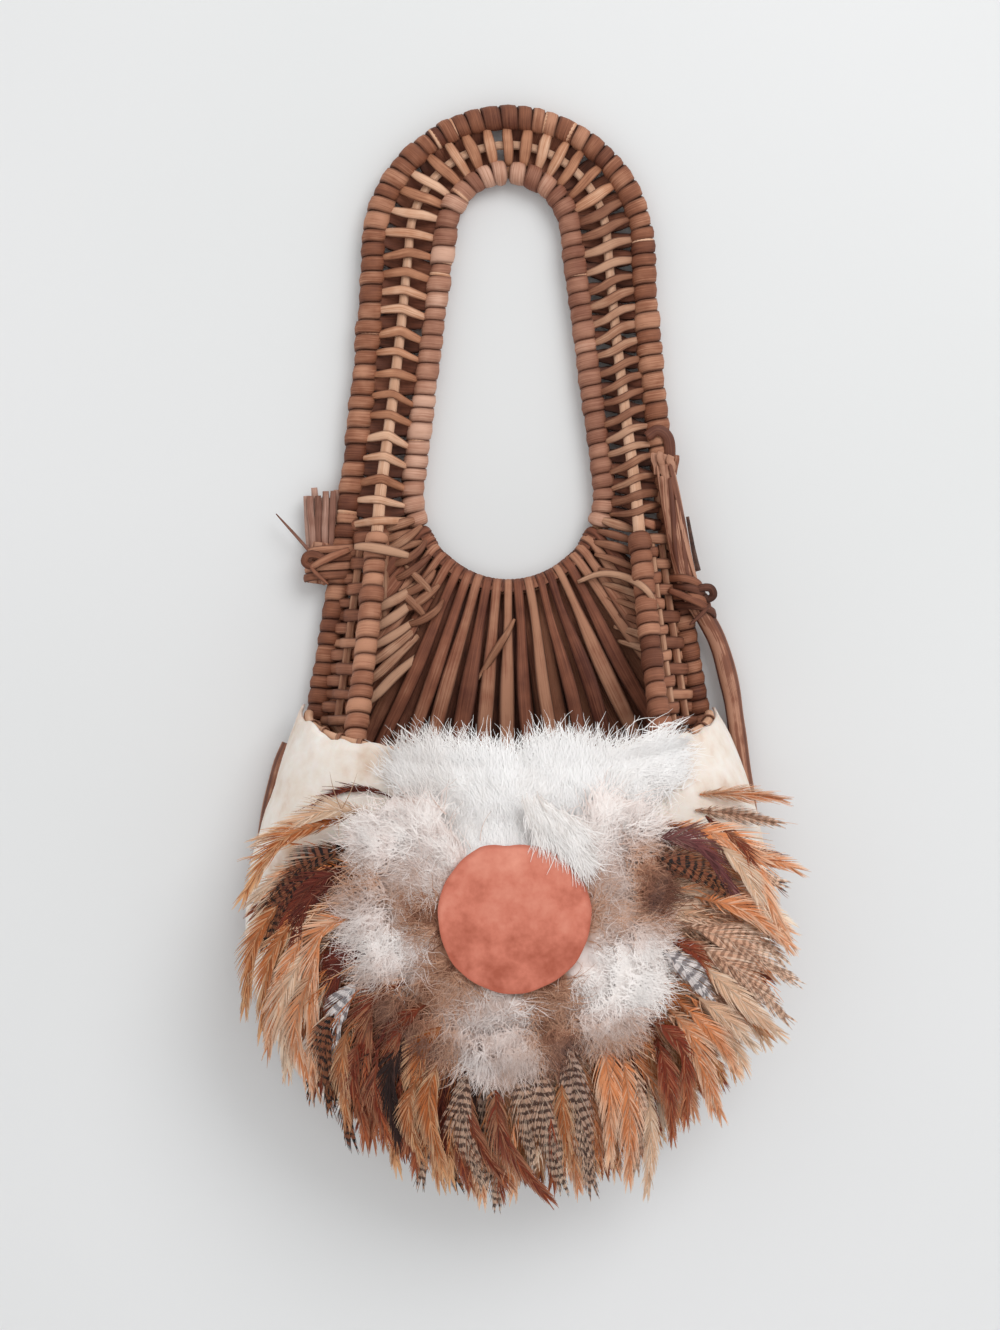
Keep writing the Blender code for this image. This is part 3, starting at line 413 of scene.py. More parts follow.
    def _left_tail(self) -> Spine:
        """The short length of the vine that is lashed beside the left limb, from its top."""
        depths = np.linspace(0.150, 0.167, 9)
        return Spine(np.array([mirrored(self._beside_rib(depth, 1.0)) for depth in depths]))

    def vine_beside(self, right: bool) -> Array:
        """The vine's points beside one limb, from the lowest up."""
        if right:
            points = self.vine.part(0.0, self.vine.length, 900)
            points = points[(points[:, 0] > 0) & (points[:, 2] > PLAN.rim_level)]
        else:
            points = self.left_tail.part(0.0, self.left_tail.length, 60)
        return points[np.argsort(points[:, 2])]


# Finishes

def linear(code: str) -> tuple[float, float, float, float]:
    """The linear colour of an sRGB hex value such as "8f5b3e"."""
    parts = [int(code[i:i + 2], 16) / 255 for i in (0, 2, 4)]
    red, green, blue = (p / 12.92 if p <= 0.04045 else ((p + 0.055) / 1.055) ** 2.4 for p in parts)
    return red, green, blue, 1.0


def add_node(tree: bpy.types.NodeTree, kind: str, settings: dict | None = None,
             inputs: dict | None = None) -> bpy.types.Node:
    """Adds one node.

    Args:
        tree: the node tree that gets it.
        kind: the node's type.
        settings: values of the node's own properties.
        inputs: by socket name or number, a constant or the socket that feeds it.

    Returns:
        The new node.
    """
    node = tree.nodes.new(kind)
    for name, value in (settings or {}).items():
        setattr(node, name, value)
    for name, value in (inputs or {}).items():
        if isinstance(value, bpy.types.NodeSocket):
            tree.links.new(value, node.inputs[name])
        else:
            node.inputs[name].default_value = value
    return node


Socket = bpy.types.NodeSocket


class Dyeing:
    """A material's node tree while its finish is being put together."""

    def __init__(self, name: str) -> None:
        """Starts a material with nothing but its shader and output."""
        self.material = bpy.data.materials.new(name)
        self.material.use_nodes = True
        self.tree = self.material.node_tree
        self.shader = self.tree.nodes["Principled BSDF"]

    def place(self) -> tuple[Socket, Socket]:
        """The shares across (0 in the middle, 1 at the edge) and along the strip."""
        uv = add_node(self.tree, "ShaderNodeUVMap", {"uv_map": "place"})
        parts = add_node(self.tree, "ShaderNodeSeparateXYZ", inputs={0: uv.outputs[0]})
        return parts.outputs[0], parts.outputs[1]

    def fibre(self, across: float, along: float) -> Socket:
        """Noise drawn out along the strip: the size of its grains across and along."""
        uv = add_node(self.tree, "ShaderNodeUVMap", {"uv_map": "fibre"})
        scale = (1 / across, 1 / along, 1.0)
        drawn = add_node(self.tree, "ShaderNodeMapping", inputs={0: uv.outputs[0], "Scale": scale})
        noise = add_node(self.tree, "ShaderNodeTexNoise",
                         inputs={"Vector": drawn.outputs[0], "Scale": 1.0, "Detail": 3.0,
                                 "Roughness": 0.6})
        return noise.outputs[0]

    def mottle(self, size: float, detail: float = 2.0) -> Socket:
        """Blotches of a real size over the whole object."""
        place = add_node(self.tree, "ShaderNodeTexCoord")
        noise = add_node(self.tree, "ShaderNodeTexNoise",
                         inputs={"Vector": place.outputs["Object"], "Scale": 1 / size,
                                 "Detail": detail})
        return noise.outputs[0]

    def tone(self) -> Socket:
        """Each strip's own tone, from 0 to 1."""
        return add_node(self.tree, "ShaderNodeAttribute", {"attribute_name": "tone"}).outputs["Fac"]

    def sum(self, *terms: tuple[Socket, float]) -> Socket:
        """Sockets added up, each times its weight."""
        total: Socket | float = 0.0
        for socket, weight in terms:
            total = add_node(self.tree, "ShaderNodeMath", {"operation": "MULTIPLY_ADD"},
                             {0: socket, 1: weight, 2: total}).outputs[0]
        return total

    def math(self, operation: str, first: Socket | float, second: Socket | float = 0.0) -> Socket:
        """One sum of two values."""
        return add_node(self.tree, "ShaderNodeMath", {"operation": operation},
                        {0: first, 1: second}).outputs[0]

    def step(self, value: Socket, low: float, high: float) -> Socket:
        """0 below low and 1 above high, smooth between them."""
        ramp = add_node(self.tree, "ShaderNodeMapRange", {"interpolation_type": "SMOOTHSTEP"},
                        {"Value": value, "From Min": low, "From Max": high})
        return ramp.outputs[0]

    def ramp(self, value: Socket, stops: Sequence[tuple[float, str]]) -> Socket:
        """A colour for each value, from stops of a place and an sRGB code."""
        node = add_node(self.tree, "ShaderNodeValToRGB", inputs={0: value})
        elements = node.color_ramp.elements
        for _ in stops[2:]:
            elements.new(0.5)
        for element, (place, code) in zip(elements, stops):
            element.position = place
            element.color = linear(code)
        return node.outputs[0]

    def blend(self, share: Socket, first: Socket, second: Socket | str) -> Socket:
        """first turning to second, a colour or a code, as share rises."""
        other = linear(second) if isinstance(second, str) else second
        node = add_node(self.tree, "ShaderNodeMix", {"data_type": "RGBA"},
                        {0: share, 6: first, 7: other})
        return node.outputs[2]

    def bump(self, height: Socket, strength: float, distance: float) -> None:
        """Raises the surface by a height map."""
        node = add_node(self.tree, "ShaderNodeBump",
                        inputs={"Height": height, "Strength": strength, "Distance": distance})
        self.tree.links.new(node.outputs[0], self.shader.inputs["Normal"])

    def finish(self, colour: Socket, constants: dict[str, float]) -> bpy.types.Material:
        """Sets the colour and the shader's constants and gives the material."""
        self.tree.links.new(colour, self.shader.inputs["Base Color"])
        for name, value in constants.items():
            self.shader.inputs[name].default_value = value
        return self.material


@dataclass(frozen=True)
class SplitStrip:
    """Split wood or bark strip: long fibres, edges darkened by painted crease shade, matt and dry."""

    name: str
    slot: str
    dark: str
    body: str
    light: str
    edge: str
    roughness: float = 0.72
    grain: float = 0.45 * MM
    streak: float = 16 * MM
    blotch: float = 9 * MM
    tone_weight: float = 0.55
    edge_share: float = 0.75
    relief: float = 0.8

    def make(self) -> bpy.types.Material:
        """Builds the material."""
        dye = Dyeing(self.name)
        fibres = dye.fibre(self.grain, self.streak)
        value = dye.sum((fibres, 0.62), (dye.mottle(self.blotch), 0.42),
                        (dye.tone(), self.tone_weight))
        middle = 0.26 + self.tone_weight / 2 + 0.26
        colour = dye.ramp(value, ((middle - 0.30, self.dark), (middle, self.body),
                                  (middle + 0.28, self.light)))
        across, _ = dye.place()
        # Painted shade: the strip darkens towards its edges, where they meet the creases and gaps beside
        # it
        edge_shade = dye.math("MULTIPLY", dye.step(across, 0.55, 1.0), self.edge_share)
        dye.bump(fibres, self.relief, 0.35 * MM)
        return dye.finish(dye.blend(edge_shade, colour, self.edge), {"Roughness": self.roughness})


@dataclass(frozen=True)
class Core:
    """Peeled cane in the frame's own rods: pale wood seen between the turns, dull and dry."""

    name: str
    slot: str
    dark: str
    light: str

    def make(self) -> bpy.types.Material:
        """Builds the material."""
        dye = Dyeing(self.name)
        colour = dye.ramp(dye.mottle(3 * MM), ((0.35, self.dark), (0.65, self.light)))
        dye.bump(dye.mottle(0.8 * MM), 0.3, 0.2 * MM)
        return dye.finish(colour, {"Roughness": 0.7})


@dataclass(frozen=True)
class DriedRawhide:
    """Rawhide dried over a form: cream skin with cloudy patches and a soft waxy sheen."""

    name: str = "dried_rawhide"
    slot: str = "rawhide"
    dark: str = "cfae94"
    body: str = "eadcd0"
    light: str = "f6f1ec"

    def make(self) -> bpy.types.Material:
        """Builds the material."""
        dye = Dyeing(self.name)
        cloud = dye.sum((dye.mottle(26 * MM, 4.0), 0.75), (dye.mottle(5 * MM, 3.0), 0.25))
        colour = dye.ramp(cloud, ((0.30, self.dark), (0.48, self.body), (0.68, self.light)))
        dye.bump(dye.mottle(2.2 * MM, 4.0), 0.35, 0.4 * MM)
        return dye.finish(colour, {"Roughness": 0.55, "Subsurface Weight": 0.08,
                                   "Subsurface Scale": 0.003})


@dataclass(frozen=True)
class SuedeLeather:
    """Copper-dyed leather, flesh side out: mottled dye, lighter towards the top as painted light, darker
    towards the rim, a fine nap and no shine.
    """

    name: str = "copper_suede"
    slot: str = "copper_leather"
    dark: str = "a9543d"
    body: str = "cc7660"
    light: str = "e0937d"

    def make(self) -> bpy.types.Material:
        """Builds the material."""
        dye = Dyeing(self.name)
        across, along = dye.place()
        # Painted light: the colour lightens towards the disc's top, where the light falls
        cloud = dye.sum((dye.mottle(11 * MM, 4.0), 0.62), (dye.mottle(2.5 * MM, 3.0), 0.20),
                        (along, 0.20))
        colour = dye.ramp(cloud, ((0.34, self.dark), (0.52, self.body), (0.74, self.light)))
        # The colour darkens towards the rim
        darker_rim = dye.math("MULTIPLY", dye.step(across, 0.93, 1.0), 0.6)
        dye.bump(dye.mottle(0.7 * MM, 3.0), 0.4, 0.15 * MM)
        return dye.finish(dye.blend(darker_rim, colour, self.dark),
                          {"Roughness": 0.78, "Sheen Weight": 0.15, "Sheen Roughness": 0.5})


@dataclass(frozen=True)
class HackleVane:
    """A cock's hackle or saddle feather: silky barbs, down-grey foot, warm tip, some barred."""

    name: str
    foot: str
    body: str
    tip: str
    edge: str
    bar: str
    slot: str = "hackle_feather"
    edge_share: float = 0.0
    bar_share: float = 0.0
    bar_pitch: float = 4.2 * MM
    bar_lean: float = 0.2
    roughness: float = 0.55
    sheen: float = 0.05
    # Odd barbs painted dark in the bar's colour, as shade in the gaps between barbs, and odd barbs
    # painted light in the edge's colour, as highlights: how they are spread, from where, how strong
    shade_streaks: tuple[float, float, float] = (211.0, 0.1, 0.45)
    highlight_streaks: tuple[float, float, float] = (97.0, 0.6, 0.36)

    def make(self) -> bpy.types.Material:
        """Builds the material."""
        dye = Dyeing(self.name)
        across, along = dye.place()
        tone = dye.tone()
        value = dye.sum((along, 0.70), (tone, 0.62), (dye.mottle(5 * MM), 0.40))
        value = dye.math("SUBTRACT", value, 0.40)
        colour = dye.ramp(value, ((0.10, self.foot), (0.36, self.body), (0.60, self.body),
                                  (0.98, self.tip)))
        if self.edge_share:
            rim = dye.math("MULTIPLY", dye.step(across, 0.45, 0.9), self.edge_share)
            colour = dye.blend(rim, colour, self.edge)
        if self.bar_share:
            uv = add_node(dye.tree, "ShaderNodeUVMap", {"uv_map": "fibre"})
            metres = add_node(dye.tree, "ShaderNodeSeparateXYZ", inputs={0: uv.outputs[0]})
            lean = dye.math("MULTIPLY", dye.math("ABSOLUTE", metres.outputs[0]), self.bar_lean)
            run = dye.math("ADD", metres.outputs[1], lean)
            turns = dye.sum((run, tau / self.bar_pitch), (dye.mottle(7 * MM), 4.0), (tone, 1.2))
            wave = dye.sum((dye.math("SINE", turns), 1.0), (dye.mottle(2.6 * MM), 4.0))
            band = dye.math("MULTIPLY", dye.step(wave, 1.7, 2.5), self.bar_share)
            colour = dye.blend(band, colour, self.bar)
        # Painted shade on odd barbs in the bar's colour, and painted highlights on others in the edge's
        # colour
        for (turns, low, share), other in ((self.shade_streaks, self.bar),
                                           (self.highlight_streaks, self.edge)):
            some = dye.step(dye.math("SINE", dye.math("MULTIPLY", tone, turns)), low, 0.95)
            colour = dye.blend(dye.math("MULTIPLY", some, share), colour, other)
        return dye.finish(colour, {"Roughness": self.roughness, "Sheen Weight": self.sheen,
                                   "Sheen Roughness": 0.4, "Specular IOR Level": 0.25})


@dataclass(frozen=True)
class SoftHair:
    """Down or rabbit fur: fine matt strands whose colour clouds from patch to patch."""

    name: str
    slot: str
    stops: tuple[tuple[float, str], ...]

    def make(self) -> bpy.types.Material:
        """Builds the material."""
        dye = Dyeing(self.name)
        cloud = dye.math("SUBTRACT", dye.mottle(5 * MM, 3.0), 0.5)
        value = dye.math("MULTIPLY_ADD", cloud, 0.3)
        dye.tree.links.new(dye.tone(), value.node.inputs[2])
        return dye.finish(dye.ramp(value, self.stops),
                          {"Roughness": 0.85, "Sheen Weight": 0.25, "Sheen Roughness": 0.5})


@dataclass(frozen=True)
class PaleBoard:
    """Painted board for the backdrop: matt, even and pale, and clear from behind."""

    name: str = "pale_board"
    colour: str = "e6e7e9"
    shade: str = "dfe1e2"

    def make(self) -> bpy.types.Material:
        """Builds the material."""
        dye = Dyeing(self.name)
        colour = dye.ramp(dye.mottle(0.5), ((0.3, self.shade), (0.7, self.colour)))
        board = dye.finish(colour, {"Roughness": 0.95})
        tree = dye.tree
        behind = add_node(tree, "ShaderNodeNewGeometry")
        clear = add_node(tree, "ShaderNodeBsdfTransparent")
        both = add_node(tree, "ShaderNodeMixShader",
                        inputs={0: behind.outputs["Backfacing"], 1: dye.shader.outputs[0],
                                2: clear.outputs[0]})
        tree.links.new(both.outputs[0], tree.nodes["Material Output"].inputs["Surface"])
        return board


Finish = SplitStrip | Core | DriedRawhide | SuedeLeather | HackleVane | SoftHair | PaleBoard

OUTER_BARK = SplitStrip("brown_bark_binding", "bark_strip", "55240f", "8a5338", "b98366", "421e0e")
INNER_BARK = SplitStrip("rosy_bark_binding", "bark_strip", "7a4733", "ae7b63", "d2a58e", "603726")
RIB_BARK = SplitStrip("red_bark_binding", "bark_strip", "65351f", "965f45", "ba8467", "4b2414")
LIGHT_STRIP = SplitStrip("light_cane_strip", "light_bark_strip", "7e482c", "bb8362", "dfb496",
                         "683a22")
TAN_STRIP = SplitStrip("tan_bark_strip", "bark_strip", "663520", "98674c", "bd9175", "522917")
# Dark bark: the right lashing's own colour, and painted shade where it finishes the strips behind the
# handle's rib and behind the fan
DARK_STRIP = SplitStrip("dark_bark_strip", "bark_strip", "431f10", "733f29", "935d43", "34160b")
FAN_STRIP = SplitStrip("fan_bark_strip", "bark_strip", "55230f", "8a5138", "b07c60", "401b0c",
                       grain=0.6 * MM, streak=30 * MM)
CANE = SplitStrip("peeled_cane_rib", "peeled_cane", "ab7b5c", "cfa183", "e6c1a6", "b5876a",
                  streak=40 * MM, edge_share=0.2, tone_weight=0.2)
VINE = SplitStrip("striped_vine", "vine", "5a2b18", "87523a", "b07f66", "643520", roughness=0.6,
                  grain=0.5 * MM, streak=60 * MM, edge_share=0.0, tone_weight=0.9)
FRAY = SplitStrip("frayed_wood", "vine", "5c3323", "8d6150", "bb9484", "4c2a1b",
                  grain=0.35 * MM, edge_share=0.2)
CORE_CANE = Core("frame_cane", "cane_rod", "8f5c40", "c2926f")
TWIG = Core("dark_twig", "bark_strip", "37201a", "5e4034")
RAWHIDE = DriedRawhide()
SUEDE = SuedeLeather()
RABBIT = SoftHair("rabbit_fur", "rabbit_fur", ((0.1, "d4cbc6"), (0.4, "f3efed"), (0.8, "fefdfd")))
DOWN = SoftHair("feather_down", "feather_down",
                ((0.05, "552c1c"), (0.2, "885841"), (0.36, "bd8e72"), (0.5, "c6aa9d"),
                 (0.72, "e6d8d3"), (0.95, "fbf5f2")))


class Plumage(Enum):
    """The kinds of feather on the basket, each with its finish."""

    GOLDEN = HackleVane("golden_hackle", "a46c48", "b4622f", "e4a877", "f0cfa8", "43190a",
                        edge_share=0.45)
    RUST = HackleVane("rust_hackle", "74422c", "7c2c14", "b65f34", "d69c74", "240a06",
                      edge_share=0.35)
    MAHOGANY = HackleVane("mahogany_hackle", "5a2f20", "5a1a0e", "84371d", "98553b", "180504")
    GRIZZLY = HackleVane("barred_hackle", "a88c7e", "be9780", "dcbda4", "e0c4ae", "3a2019",
                         bar_share=0.9, bar_pitch=3.7 * MM)
    NIGHT = HackleVane("dark_barred_hackle", "6c3e2c", "80472f", "9c6039", "9e6845", "140605",
                       bar_share=1.0, bar_pitch=3.4 * MM)
    SPECKLED = HackleVane("speckled_hackle", "be9a82", "d2a286", "eeccb2", "f5dfcb", "6a4029",
                          bar_share=0.62, bar_pitch=3.2 * MM, edge_share=0.3)
    FROST = HackleVane("white_barred_hackle", "dcd2d0", "efe6e4", "f4efee", "f6f2f1", "4a4048",
                       bar_share=0.7, bar_pitch=5.0 * MM)
    BLACK = HackleVane("black_hackle", "4a2c24", "220c08", "3a1a12", "2a110c", "0b0403", sheen=0.0)
    AMBER = HackleVane("amber_hackle", "be8e6e", "d6824f", "f0b993", "f9e1c8", "6a341a",
                       edge_share=0.5)
    CREAM = HackleVane("cream_hackle", "caa98e", "deb190", "f4dcc4", "f9ebd9", "6e4830",
                       edge_share=0.3)
    PLUM = HackleVane("plum_hackle", "7c5a50", "6e3838", "8a5a54", "46201f", "2e1216",
                      edge_share=0.6)


# Meshes made of strips, tubes and strands

def baked(bm: bmesh.types.BMesh, name: str) -> bpy.types.Mesh:
    """The worked form as a finished mesh."""
    mesh = bpy.data.meshes.new(name)
    bm.to_mesh(mesh)
    bm.free()
    return mesh


class Lattice:
    """Strips with one number of columns, gathered and made one mesh."""

    def __init__(self, columns: int, tube: bool = False) -> None:
        """Starts an empty lattice.

        Args:
            columns: the points in each row of a strip.
            tube: whether each row closes on itself, and the strips' ends are capped.
        """
        self.columns = columns
        self.tube = tube
        self.points: list[Array] = []
        self.fibres: list[Array] = []
        self.places: list[Array] = []
        self.tones: list[Array] = []
        self.normals: list[Array] = []
        self.starts: set[int] = set()
        self.rows = 0

    def add(self, points: Array, fibre: Array, place: Array, tone: Array) -> None:
        """Adds strips.

        Args:
            points: (strips, rows, columns, 3) places.
            fibre: (strips, rows, columns, 2) distances across and along, in metres.
            place: (strips, rows, columns, 2) shares across, from the middle, and along.
            tone: each strip's tone, or one for each of its points.
        """
        strips, rows = points.shape[:2]
        shape = (strips, rows, self.columns)
        tone = tone.reshape(tone.shape + (1,) * (3 - tone.ndim))
        self.points.append(points.reshape(-1, 3))
        self.fibres.append(np.broadcast_to(fibre, (*shape, 2)).reshape(-1, 2))
        self.places.append(np.broadcast_to(place, (*shape, 2)).reshape(-1, 2))
        self.tones.append(np.broadcast_to(tone, shape).reshape(-1))
        self.starts.update(self.rows + rows * (i + 1) for i in range(strips))
        self.rows += strips * rows

    def mesh(self, name: str) -> bpy.types.Mesh:
        """Cuts one long grid between the strips and lays its points in place."""
        bm = bmesh.new()
        bmesh.ops.create_grid(bm, x_segments=self.columns - 1, y_segments=self.rows - 1, size=0.5)
        per_row = self.columns - 1
        cut = [f for i, f in enumerate(bm.faces) if i // per_row + 1 in self.starts]
        bmesh.ops.delete(bm, geom=cut, context="FACES")
        mesh = baked(bm, name)
        mesh.vertices.foreach_set("co", np.concatenate(self.points).astype(np.float32).ravel())
        corners = np.empty(len(mesh.loops), np.int32)
        mesh.loops.foreach_get("vertex_index", corners)
        for layer, values in (("fibre", self.fibres), ("place", self.places)):
            spread = np.concatenate(values)[corners].astype(np.float32)
            mesh.uv_layers.new(name=layer).uv.foreach_set("vector", spread.ravel())
        tones = mesh.attributes.new("tone", "FLOAT", "POINT")
        tones.data.foreach_set("value", np.concatenate(self.tones).astype(np.float32))
        if self.tube:
            close_tubes(mesh)
        mesh.shade_smooth()
        if self.normals:
            mesh.normals_split_custom_set_from_vertices(np.concatenate(self.normals))
        return mesh


def close_tubes(mesh: bpy.types.Mesh) -> None:
    """Joins each tube's seam, caps its ends and turns its faces outwards."""
    bm = bmesh.new()
    bm.from_mesh(mesh)
    bmesh.ops.remove_doubles(bm, verts=bm.verts, dist=1e-7)
    bmesh.ops.holes_fill(bm, edges=[e for e in bm.edges if e.is_boundary], sides=0)
    bmesh.ops.recalc_face_normals(bm, faces=bm.faces)
    bm.to_mesh(mesh)
    bm.free()


def place_piece(name: str, mesh: bpy.types.Mesh, material: bpy.types.Material, slot: str,
                *nodes: str) -> bpy.types.Object:
    """Puts a finished mesh into the scene as a piece of the basket.

    Args:
        name: the piece's name.
        mesh: its mesh, in place.
        material: its finish.
        slot: not used.
        nodes: the frame's solids that the piece stands for.

    Returns:
        The piece.
    """
    mesh.materials.append(material)
    piece = bpy.data.objects.new(name, mesh)
    bpy.context.scene.collection.objects.link(piece)
    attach(piece, "root")
    if nodes:
        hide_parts(*nodes)
    LOG.info("%s: %d faces", name, len(mesh.polygons))
    return piece


def thicken(piece: bpy.types.Object, thickness: float = 0.8 * MM, offset: float = -1.0) -> None:
    """Gives a sheet its thickness, inwards at an offset of -1 and outwards at 1."""
    skin = piece.modifiers.new("skin", "SOLIDIFY")
    skin.thickness = thickness
    skin.offset = offset


class Workshop:
    """Makes each finish once and hands it to the pieces that share it."""

    def __init__(self) -> None:
        """Starts with no finish made."""
        self.made: dict[str, bpy.types.Material] = {}

    def dress(self, name: str, lattice: Lattice, finish: Finish, *nodes: str) -> bpy.types.Object:
        """Makes a lattice a piece with a finish, standing for some of the frame's solids."""
        return place_piece(name, lattice.mesh(name), self.material(finish), finish.slot, *nodes)

    def material(self, finish: Finish) -> bpy.types.Material:
        """The finish's material, made the first time it is asked for."""
        if finish.name not in self.made:
            self.made[finish.name] = finish.make()
        return self.made[finish.name]


def keep_solid(shop: Workshop, finish: Core, *nodes: str) -> None:
    """Finishes solids of the frame that show as they are."""
    for node in nodes:
        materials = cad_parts[node].data.materials
        materials.clear()
        materials.append(shop.material(finish))


class Strips(Lattice):
    """Crowned strips, laid or wound, that share one finish."""

    def __init__(self, seed: int) -> None:
        """Starts with no strips and a fixed run of chance."""
        super().__init__(len(SECTION), tube=True)
        self.rng = np.random.default_rng(seed)

    def put(self, centre: Array, out: Array, width: Array | float, thickness: Array | float,
            tone: Array | float) -> None:
        """Adds one strip.

        Args:
            centre: its centre points.
            out: the direction in which its crowned face looks, one or one for each point.
            width: its width, one or one for each point.
            thickness: its thickness, likewise.
            tone: its tone, likewise.
        """
        width, thickness, tone = (np.broadcast_to(value, len(centre))[:, None]
                                  for value in (width, thickness, tone))
        along = unit(np.gradient(centre, axis=0))
        across = unit(np.cross(along, out))
        face = unit(np.cross(across, along))
        wide, high = SECTION[:, 0] * width, SECTION[:, 1] * thickness
        points = centre[:, None] + wide[..., None] * across[:, None] + high[..., None] * face[:, None]
        fibre = joined(wide + (SECTION[:, 1] < -0.2) * UNDERSIDE, run_along(centre)[:, None])
        place = joined(np.abs(SECTION[:, 0]) * 2, np.linspace(0, 1, len(centre))[:, None])
        self.add(points[None], fibre[None] + self.rng.uniform(0, 0.5, 2), place[None], tone[None])

    def lay(self, controls: Sequence[Array], width: float, thickness: float, tone: float,
            out: Array = FRONT, rows: int = 14, taper: float = 0.7, swell_at: float = 0.5) -> None:
        """Lays one strip through a few points.

        Args:
            controls: the points that it passes through.
            width: its width where it is widest.
            thickness: its thickness.
            tone: its tone, from 0 to 1.
            out: the way its face looks.
            rows: its stations.
            taper: its ends' width as a share of its width.
            swell_at: where along it it is widest.
        """
        spine = Spine(smooth_through(controls))
        share = np.linspace(0, 1, rows)
        swell = np.sin(pi * share ** (np.log(0.5) / np.log(swell_at))) ** 0.8
        wide = width * mix(taper, 1.0, swell)
        self.put(spine.at(share * spine.length), out, wide, thickness, tone)

    def wind(self, spine: Spine, start: float, end: float, pitch: float, radius: float,
             thickness: float, spread: float = 0.22, rough: float = 0.25 * MM,
             hand: float = 1.0, tone: float = 0.5) -> None:
        """Winds one strip round a rod, no two turns quite alike.

        Args:
            spine: the rod's centre line.
            start: where along it the winding starts.
            end: where it ends.
            pitch: the turns' mean width.
            radius: the radius of the winding's outside.
            thickness: the strip's thickness.
            spread: how much the turns' widths vary.
            rough: how much their heights vary.
            hand: 1 or -1, the way the winding goes round.
            tone: the turns' mean tone.
        """
        turns = max(3, round(abs(end - start) / pitch))
        widths = self.rng.uniform(1 - spread, 1 + spread, turns)
        widths *= abs(end - start) / widths.sum()
        middles = np.cumsum(widths) - widths / 2
        lifts = self.rng.normal(0.0, rough, turns)
        tones = np.clip(self.rng.normal(tone, 0.22, turns), 0, 1)
        turn = np.linspace(-0.5, turns - 0.5, turns * TURN_STATIONS + 1)
        whole = np.floor(turn).astype(int)
        low, high = np.clip(whole, 0, turns - 1), np.clip(whole + 1, 0, turns - 1)
        part = turn - np.floor(turn)
        run = part - 0.75 * np.sin(tau * part) / tau
        swap = smooth_step(part, 0.32, 0.68)
        along = mix(middles[low], middles[high], run)
        distance = start + along * np.sign(end - start)
        out = around(spine.tangent(distance), (pi / 2 + tau * turn * hand)[:, None])
        lift = mix(lifts[low], lifts[high], swap)[:, None]
        centre = spine.at(distance) + out * (radius - thickness / 2 + lift)
        ends = np.clip(np.minimum(turn + 0.5, turns - 0.5 - turn) * 2.5, 0.35, 1.0)
        width = mix(widths[low], widths[high], swap) * 1.02 * ends
        self.put(centre, out, width, thickness, mix(tones[low], tones[high], swap))


class Tubes(Lattice):
    """Round rods with a ridged surface."""

    def __init__(self, sides: int, seed: int) -> None:
        """Starts with no rods."""
        super().__init__(sides + 1, tube=True)
        self.sides = sides
        self.rng = np.random.default_rng(seed)

    def run(self, centre: Array, radius: Array | float, ridges: float) -> None:
        """Adds a rod along points.

        Args:
            centre: its centre points.
            radius: its radius, or one for each point.
            ridges: the depth of its long grooves as a share of its radius.
        """
        column = np.arange(self.columns)
        step = column % self.sides
        ring = around(unit(np.gradient(centre, axis=0))[:, None], (step * tau / self.sides)[:, None])
        groove = 1 + ridges * self.rng.uniform(-1, 1, self.sides)[step]
        size = np.broadcast_to(radius, len(centre))[:, None]
        points = centre[:, None] + ring * size[..., None] * groove[:, None]
        fibre = joined(column * tau / self.sides * size, run_along(centre)[:, None])
        # Painted light and shade: the ridges take a lighter tone and the grooves a darker one
        tones = 0.5 + (groove - 1) * (PAINTED_RIDGE_SHADE / ridges)
        self.add(points[None], fibre[None], np.zeros(2), tones[None, None])


class Strands(Lattice):
    """Fine ribbons: barbs, down and hair."""

    def __init__(self) -> None:
        """Starts with no strands."""
        super().__init__(2)

    def grow(self, path: Array, facing: Array, width: Array, fibre: Array, place: Array,
             tone: Array, shading: Array) -> None:
        """Adds strands.

        Args:
            path: (strands, rows, 3) points.
            facing: (strands, 1 or rows, 3) directions that the ribbons face.
            width: widths that go with (strands, rows).
            fibre: (strands, rows, 2) distances across and along.
            place: (strands, rows, 2) shares across and along.
            tone: (strands,) tones.
            shading: (strands, rows, 3) directions in which the strands take the light.
        """
        along = unit(np.gradient(path, axis=1))
        across = unit(np.cross(along, np.broadcast_to(facing, path.shape)))
        half = np.broadcast_to(width, path.shape[:2])[..., None, None] / 2
        sides = np.array((-1.0, 1.0))[None, None, :, None]
        points = path[:, :, None] + across[:, :, None] * half * sides
        self.add(points, fibre[:, :, None], place[:, :, None], tone)
        self.normals.append(np.repeat(shading.reshape(-1, 3), 2, axis=0))


@dataclass
class Assembly:
    """What every maker works from: the basket's rods and the workshop's finishes."""

    rods: Rods
    shop: Workshop


# The handle

